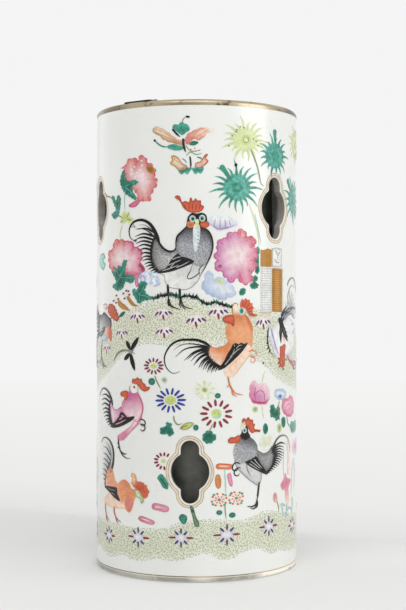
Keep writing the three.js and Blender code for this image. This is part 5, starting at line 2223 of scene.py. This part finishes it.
# Rooster at the right edge: arched plume, black wing, pale body, coral comb hanging down
rightEdgeRooster = {
    "arch": [
        stroke([
            (66.9, 173), (68.6, 175.6), (73.8, 177.8), (79, 177.2), (83, 174.4), (86, 169),
        ], 1.0, "slate", tip=0.9),
        stroke([(67, 166), (70, 171), (75, 173.4), (80, 172)], 0.8, "ash", tip=0.9),
    ],
    "plume": [
        feathers(
            [(61, 154), (66.4, 157.4), (72, 159)],
            [
                (64.6, 163.4), (67.6, 168.4), (70.4, 171), (73.6, 170.4), (76.6, 168.6), (79, 165.6),
                (82, 163), (85, 161), (87, 158), (86, 154.6), (83, 153),
            ],
            1.6, "ash", -0.14, towards="mist",
        ),
        stroke([
            (58.8, 150.8), (61.6, 154.6), (66.6, 157.4), (72, 159), (78, 159.6), (85, 158.6),
        ], 3.6, "ink", towards="slate", tip=0.8, level=4),
        stroke([
            (62, 153), (67, 155.4), (73, 156), (80, 154.4),
        ], 2.4, "slate", towards="ash", tip=0.9, level=4),
        stroke([(59, 154.6), (62.4, 158.4), (66, 160.6)], 1.8, "charcoal", tip=0.8, level=4),
        strokes([
            [(60, 153.4), (64, 156.6)], [(62.4, 153), (67, 155.8)], [(66, 157.6), (72, 158.6)],
        ], 0.6, "steel", level=5),
    ],
    "body": fill([
        (50.2, 146.8), (53, 150), (56.6, 151.6), (60.4, 151.4), (65, 153.2), (70, 153.6), (77, 150),
        (80, 144), (78, 137), (72, 132.6), (63.6, 130.4), (58, 129.2), (53.4, 130.6), (50.8, 135),
        (49.2, 141),
    ], "white", "mist", rimWidth=2.2, level=3),
    "chest": stroke([
        (47.4, 147.4), (49.6, 141.6), (52.4, 136.4), (56, 131),
    ], 3.4, "frost", towards="lilac", level=4, tip=0.5),
    "chestLine": stroke([
        (48.6, 147.8), (51.2, 141), (53.8, 135.6), (57.6, 130.4),
    ], 1.1, "dusk", towards="orchid", level=5, tip=0.8),
    "washes": [
        stroke([(72, 149.6), (76, 149.4), (80, 150)], 1.8, "lilac", leaf=True, level=4),
        stroke([(74, 143.4), (78, 145.4), (83, 147)], 2.2, "lilac", leaf=True, level=4),
        stroke([(64, 131.4), (69, 130.8), (74, 129.6)], 1.8, "lilac", leaf=True, level=4),
    ],
    "blackWing": [
        stroke([(56.6, 153.6), (58.6, 149), (58.2, 143.4), (58.6, 138.4)], 3.2, "ink", tip=0.4, level=5),
        stroke([(58.4, 151.4), (61.6, 146.2), (66.8, 139.4)], 3.8, "ink", tip=0.4, level=5),
        strokes([
            [(62.4, 148), (64, 146.4)], [(64, 145.8), (65.6, 144.2)], [(65.4, 143.4), (67, 141.8)],
        ], 0.9, "ink", level=5),
        stroke([(61, 143.8), (62.4, 141), (63, 138.4)], 2.2, "salmon", towards="blush", level=4),
        strokes([[(58.6, 148), (58.4, 144)], [(61, 147.4), (63.6, 143.6)]], 0.45, "slate", level=6),
    ],
    "edge": [
        stroke([
            (46.8, 148), (46, 143.4), (46.2, 138.4), (48.4, 133.4), (52.4, 130),
        ], 1.0, "charcoal", tip=0.8, level=4),
        strokes([
            [(46.8, 142.6), (45, 142.8)], [(46.8, 139), (44.8, 138.4)], [(47.4, 136.6), (45.2, 135)],
            [(48.4, 135), (46.8, 132.8)],
        ], 0.7, "ink", level=4),
    ],
    "comb": fill([
        (57.2, 133), (57.8, 136.4), (60, 136.8), (62, 138), (64, 137), (63.4, 133.6), (63, 130.4),
        (63.2, 127.4), (62.6, 124.6), (60, 123.6), (58.4, 124.4), (56.4, 123.8), (57.4, 125.8), (55, 126.4),
        (57, 127.6), (55.6, 129.4), (57.4, 130),
    ], "coral", "deepCoral", rimWidth=1.2, level=6, roundness=0.7),
    "combLines": strokes([
        [(60, 136), (59.6, 130)], [(62, 135.6), (61.6, 129)], [(60.2, 128.6), (59.6, 125)],
        [(62, 127.6), (61.4, 124.8)],
    ], 0.55, "deepCoral", level=7),
    "claw": strokes([
        [(66, 131), (71, 127), (77, 124.4), (83, 124)], [(72, 127.6), (77, 126.4), (83, 127)],
        [(74, 126), (78, 122.8), (82, 122)],
    ], 1.3, "salmon", towards="wine", level=4),
    "dots": [
        dot((42.4, 127), (1.4, 1.4), "umber"),
        dot((65, 128.4), (2.4, 1.6), "moss"),
        dots([(44.4, 125.4), (48, 126.6)], (1.2, 0.9), "rose"),
        dot((61.4, 122.8), (2, 1.2), "umber"),
    ],
}

# Flowers at the right between the roosters
rightFlowers = {
    "tulip": [
        fill(
            [
                (33.4, 115.6), (36.2, 116.6), (38.8, 114.6), (41.6, 115.4), (45, 114.4), (47.4, 111),
                (47.8, 106.6), (46, 103.4), (43, 102.6), (39.6, 103), (35.4, 103.6), (32.6, 107.4),
            ],
            "orchid", "rose", rimWidth=3, lobes=(0.6, 5), fade=((38, 107), (45, 115), "blush"),
            rimFade=((38, 106), (44, 114), "blush"),
        ),
        stroke([
            (33.4, 107), (35.6, 104.6), (39.6, 103.8), (43.6, 103.6), (46.6, 105.4),
        ], 1.2, "deepRose", leaf=True, level=2),
        strokes([
            [(36.4, 113), (36, 108.6), (36.8, 104.8)],
            [(36.6, 108.8), (39.6, 110.8), (42.8, 109.4), (43.6, 104.6)],
        ], 0.45, "deepRose"),
    ],
    "blueFlower": [
        fill([
            (52.4, 109), (54.4, 111), (57.4, 110.8), (60, 110.8), (63, 109.8), (65.4, 107.6), (63, 105.6),
            (60, 104.6), (56.6, 104.8), (53.4, 106.4),
        ], "frost", "steel", rimWidth=2.6, lobes=(0.5, 4)),
        dot((57.8, 106.6), (4.4, 2.8), "steel", heart="blue", level=2),
    ],
    "pinkFlower": [
        fill([
            (60, 102.4), (63, 105), (67, 104.4), (70.6, 106), (75, 105.2), (78.4, 101), (77.4, 95.6),
            (71.6, 93.4), (65.9, 94.5), (61, 97.4),
        ], "pink", "rose", rimWidth=3.6, lobes=(0.6, 5)),
        strokes([
            [(62.4, 100), (66, 102.4), (72, 102), (74.6, 99)], [(65, 98), (68.6, 99.8), (72.6, 98)],
        ], 1.1, "blush", towards="pink", leaf=True, level=2),
        stroke([
            (61.4, 98), (65.4, 95), (71.4, 94.2), (77, 96.6),
        ], 1.1, "deepRose", towards="rose", leaf=True, level=2),
    ],
    "leaves": [
        fill([
            (48.4, 99.6), (49.4, 102), (52, 101), (53.4, 99), (56.2, 100.8), (57.6, 97.6), (56.8, 93.6),
            (54, 92.4), (52, 94.4), (49, 95),
        ], "deepJade", "jade", rimWidth=1.6, lobes=(0.7, 3)),
        fill([
            (59.4, 92.6), (61.2, 94), (63.8, 93), (64.2, 89.6), (62.4, 87.4), (60, 88.6),
        ], "deepJade", "jade", rimWidth=1.2),
        dot((36.4, 99.9), (4, 3.8), "paleLime", heart="moss"),
        fill([
            (42.4, 89.6), (44.2, 91.4), (46.2, 89.4), (46, 86.2), (44, 84.8), (42.4, 86.6),
        ], "deepJade", "jade", rimWidth=1),
        fill([
            (55, 89.4), (57, 90.6), (59.4, 88.6), (58.8, 85.4), (56.4, 84.8), (54.8, 86.6),
        ], "moss", "paleLime"),
        fill([
            (40, 82), (43, 84.4), (48, 85), (51.6, 82.6), (50.8, 78.6), (47.2, 75.6), (42.4, 75.8),
            (39.8, 79),
        ], "sage", "paleSage", rimWidth=3),
        fill([
            (71, 88), (74, 90.4), (79, 89.6), (84, 90.4), (87, 87.4), (85, 84), (79, 83), (73.4, 83.6),
        ], "jade", "seaJade", rimWidth=1.8, roundness=0.6),
    ],
    "stems": [
        stroke([(41.6, 102.4), (42, 98), (43, 94.4)], 0.4, "paleLime"),
        stroke([(57, 104), (56, 98), (57.6, 92)], 0.5, "moss"),
        stroke([(66, 94), (67.4, 90), (70.6, 87)], 0.6, "moss"),
        stroke([(44, 122), (42.4, 119), (41.6, 115.4)], 0.5, "paleLime"),
    ],
    "bigPink": [
        fill([
            (76, 75.6), (79, 78.4), (84, 77.4), (89, 79), (93, 76), (92, 71.4), (86, 69.4), (80, 70),
            (76.4, 72),
        ], "pink", "blush", rimWidth=3.6, lobes=(0.5, 5)),
        strokes([[(81, 77), (82, 73)], [(86.4, 77), (86, 72.6)]], 0.8, "orchid", level=2),
    ],
    "trumpet": fill(
        [
            (58.4, 53), (60.6, 55.6), (62.4, 57), (64, 60), (65.8, 57.4), (67.8, 56.4), (72.4, 55),
            (70.4, 52.4), (68.6, 50), (69.5, 44.8), (68.4, 40.4), (66.9, 38.6), (65.6, 40.8), (64, 45),
            (63.2, 49.4), (60.4, 50),
        ],
        "rose", "pink", rimWidth=1.4, fade=((65, 52), (66.6, 42), "shell"),
        rimFade=((65, 54), (66.6, 42), "shell"),
    ),
    "tallPink": fill([
        (66, 76), (67.6, 80), (69.4, 76.4), (70.6, 70), (70, 62), (68.4, 58), (67, 62), (67.4, 69),
    ], "blush", "shell", rimWidth=1.6),
    "bud": [
        fill([
            (51, 47.6), (52.6, 49.6), (54.6, 47.6), (54.8, 44.4), (52.8, 43.4), (51.2, 45),
        ], "salmon", "pink", rimWidth=1, fade=((52, 47), (54.4, 43.6), "paleLime")),
        stroke([(54.2, 44.4), (56, 41), (56.4, 37.4)], 0.6, "moss"),
    ],
    "reeds": [
        strokes([
            [(62.4, 74), (61.6, 66), (61.9, 58)], [(76, 66), (74, 56), (73, 46)],
            [(79, 68), (80.4, 58), (79, 48)],
        ], 0.45, "mist"),
        strokes([
            [(59.4, 42), (60.6, 38), (62, 34)], [(66, 41), (65.4, 36), (64.6, 31.6)],
            [(74.6, 44), (75.6, 40), (74, 34)],
        ], 1.3, "paleJade", towards="mist"),
        strokes([
            [(57.6, 40.6), (60, 41.8), (63.6, 40)], [(66.4, 36.4), (69.6, 38.4), (73, 36.6)],
            [(61.4, 34), (64, 35.4), (67, 33.6)],
        ], 1.2, "frost", towards="seaJade"),
    ],
}

# Small grey rooster at the lower right
lowRooster = {
    "sickle": [
        stroke([
            (49.4, 73), (51.6, 77.8), (55, 81.4), (59.4, 82.9), (64.4, 82.3), (68.4, 79.6), (70.4, 75.8),
            (70.8, 72),
        ], 1.5, "ink", towards="ash", tip=0.95),
        stroke([(49.4, 73), (53, 77), (58, 79), (62.4, 78.4)], 0.9, "ink", tip=0.9),
    ],
    "tail": feathers(
        [(48.6, 75.6), (50.6, 71.4), (49.4, 66.6), (45.6, 62)],
        [
            (64.6, 77.4), (62.6, 75.6), (62.4, 73.8), (61.8, 72), (61.2, 70.4), (60.4, 69), (59.4, 67.6),
            (58.2, 66.4), (56.8, 65.4), (55.2, 64.6), (53.4, 63.8), (51.6, 63), (49.8, 62.4), (48, 61.8),
        ],
        1.15, "ink", 0.12,
    ),
    "tailRoot": fill([
        (47.6, 75.6), (50.6, 74.8), (52.6, 71.6), (51.6, 67.6), (49, 64.2), (45.4, 61.2), (46.2, 65),
        (49.4, 69.6),
    ], "ink", "charcoal", rimWidth=1.0, level=2),
    "saddle": fill([
        (37.4, 75.9), (40, 74.9), (43, 73.7), (47, 74.8), (50.2, 77.6), (52, 74), (51, 69), (48, 64.6),
        (44.6, 63.4), (41, 66.6), (38.4, 70.6),
    ], "ash", "slate", rimWidth=3, finish=feather, level=3),
    "breast": fill(
        [
            (30.6, 85.4), (26.6, 85.2), (24.4, 82.6), (22.9, 79.9), (21.7, 75.8), (22.6, 71.4), (25.4, 68.9),
            (29.6, 68.4), (33.6, 69), (36.8, 71.4), (38, 75), (37.6, 79), (35.2, 82.2), (32, 84.4),
        ],
        "charcoal", "slate", finish=feather, level=4, fade=((31, 84), (29, 77), "dove"),
        rimFade=((34, 82), (26, 70), "mist"),
    ),
    "neck": fill([
        (27.4, 89.4), (29, 91.2), (30.8, 89.9), (31.6, 86.4), (32.8, 84.2), (30.4, 82.4), (27.6, 82.8),
        (25.8, 84.6), (27, 86.6),
    ], "ink", "charcoal", rimWidth=0.8, level=5),
    "belly": fill([
        (22.7, 71), (25, 69.4), (30, 69.8), (34, 68), (38, 65.4), (40.8, 62.4), (40.6, 58), (38.7, 55.3),
        (34.3, 57.4), (28.6, 61.8), (25, 65.4), (23.2, 68.4),
    ], "mist", "dove", rimWidth=1.8, level=3, line=("slate", 0.3)),
    "bellyLine": stroke([(30.2, 68.8), (30.8, 64.8), (33.4, 60.4)], 0.45, "slate", level=6),
    "wing": fill([
        (29.2, 69.3), (33.4, 71), (36.8, 72.4), (38.6, 70.6), (40.4, 67.8), (45.9, 61.1), (41.4, 62.2),
        (35.7, 64.8), (31.6, 67.2),
    ], "ink", "charcoal", rimWidth=0.7, level=5, roundness=0.6),
    "wingLights": strokes([
        [(33, 69.8), (36.4, 67.4), (40.6, 64.6)], [(35.4, 70.8), (38, 68), (41.6, 64.8)],
        [(32, 68.4), (35.6, 66.2), (39.4, 64)],
    ], 0.55, "ash", level=6),
    "head": [
        fill([
            (26.8, 88.4), (27, 91.4), (28.4, 93), (29.6, 90.8), (28.8, 88.8),
        ], "paleLime", "cream", rimWidth=0.7, level=6),
        dot((28.9, 87.9), (3, 3.2), "mist", heart="seaJade", level=7),
        dot((28.9, 87.8), (1.1, 1.3), "ink", level=8),
    ],
    "wattle": fill([
        (18.4, 82.6), (20, 84.2), (22.8, 84.2), (24.8, 85.4), (26.4, 84.2), (25.4, 81.2), (22.6, 80.8),
        (19, 80.9),
    ], "coral", "deepCoral", rimWidth=0.9, level=6),
    "comb": fill([
        (27.2, 92.8), (28.4, 95.2), (30, 94.2), (31.4, 95.6), (33, 94), (34.8, 93.8), (34.6, 92), (36.2, 91),
        (35.4, 89.4), (36.4, 88.2), (40.2, 87.6), (39.6, 86.4), (36.6, 86.8), (34.3, 86.1), (32.8, 87),
        (31.6, 89), (29.8, 90.8),
    ], "coral", "deepCoral", rimWidth=1, level=6, roundness=0.75),
    "claws": [
        stroke([
            (26, 68.4), (23.6, 69.4), (21.4, 67.8), (21.6, 65.2), (24, 64.9), (24.6, 66.6),
        ], 0.7, "ink", level=5),
        stroke([
            (26.4, 66), (25, 66.4), (22.8, 65), (22.4, 62.6), (24.4, 61.6), (25.8, 63),
        ], 0.7, "charcoal", level=5),
    ],
    "leg": [
        stroke([(39.2, 57), (38.6, 52), (37.9, 47)], 1.3, "charcoal", level=4, tip=0.3),
        strokes([
            [(37.9, 47.6), (36.6, 44), (33.6, 42.9), (30.5, 43.4)],
            [(37.7, 46.8), (37, 43.2), (35.4, 41.6), (32.8, 42)], [(37.8, 46.4), (38, 43.6), (37, 41.8)],
            [(38.4, 49.4), (37.4, 49.2)],
        ], 0.85, "charcoal", level=4),
    ],
}

# Front of the stand
for name, marks in (
    ("butterfly", butterfly), ("leftPeonySpray", leftPeonySpray), ("greyRooster", greyRooster),
    ("mossLine", mossLine), ("lowPeonySpray", lowPeonySpray), ("leftEdgeRooster", leftEdgeRooster),
    ("dragonfly", dragonfly), ("middleDaisies", middleDaisies), ("pinkRooster", pinkRooster),
    ("peckingRooster", peckingRooster), ("lowerSprigs", lowerSprigs), ("burstSpray", burstSpray),
    ("edgeBursts", edgeBursts), ("rightPeonySpray", rightPeonySpray), ("fence", fence),
    ("orangeRooster", orangeRooster), ("rightEdgeRooster", rightEdgeRooster),
    ("rightFlowers", rightFlowers), ("lowRooster", lowRooster),
):
    paintPiece(name, marks, base=2)
print("front painted")


def some(motif, *names):
    return {name: motif[name] for name in names}


# Back of the stand, where the photo shows nothing: the same motifs in another order
for name, marks, across, mirror in (
    ("backGreyRooster", greyRooster, -45, None),
    ("backMossLine", mossLine, -45, None),
    ("backButterfly", butterfly, -55, None),
    ("backFence", fence, -62, None),
    ("backBurstSpray", burstSpray, 0, None),
    ("backPeonySpray", rightPeonySpray, 5, None),
    ("backPinkPeony", lowPeonySpray, 125, None),
    ("backUpperPeony", some(leftPeonySpray, "bloom", "brownPetal", "tail", "lights", "leaf"), 140, -46),
    ("backOrangeRooster", orangeRooster, -10, 0),
    ("backBentRooster", leftEdgeRooster, 130, None),
    ("backArchedRooster", rightEdgeRooster, -142, None),
    ("backDragonfly", dragonfly, 145, None),
    ("backFlowers", some(rightFlowers, "tulip", "blueFlower", "pinkFlower"), -125, None),
    ("backLowSprigs", lowerSprigs, -65.4, None),
    ("backFarSprigs", lowerSprigs, 65.4, None),
    ("backLowRooster", lowRooster, -68, None),
    ("backPeckingRooster", peckingRooster, 72, None),
    ("backPinkRooster", pinkRooster, 64, None),
    ("backDaisies", middleDaisies, 65.4, None),
    ("backReeds", some(rightFlowers, "trumpet", "tallPink", "reeds"), 32, None),
):
    paintPiece(name, marks, shift=halfTurn + across, mirror=mirror, base=2)
print("back painted")
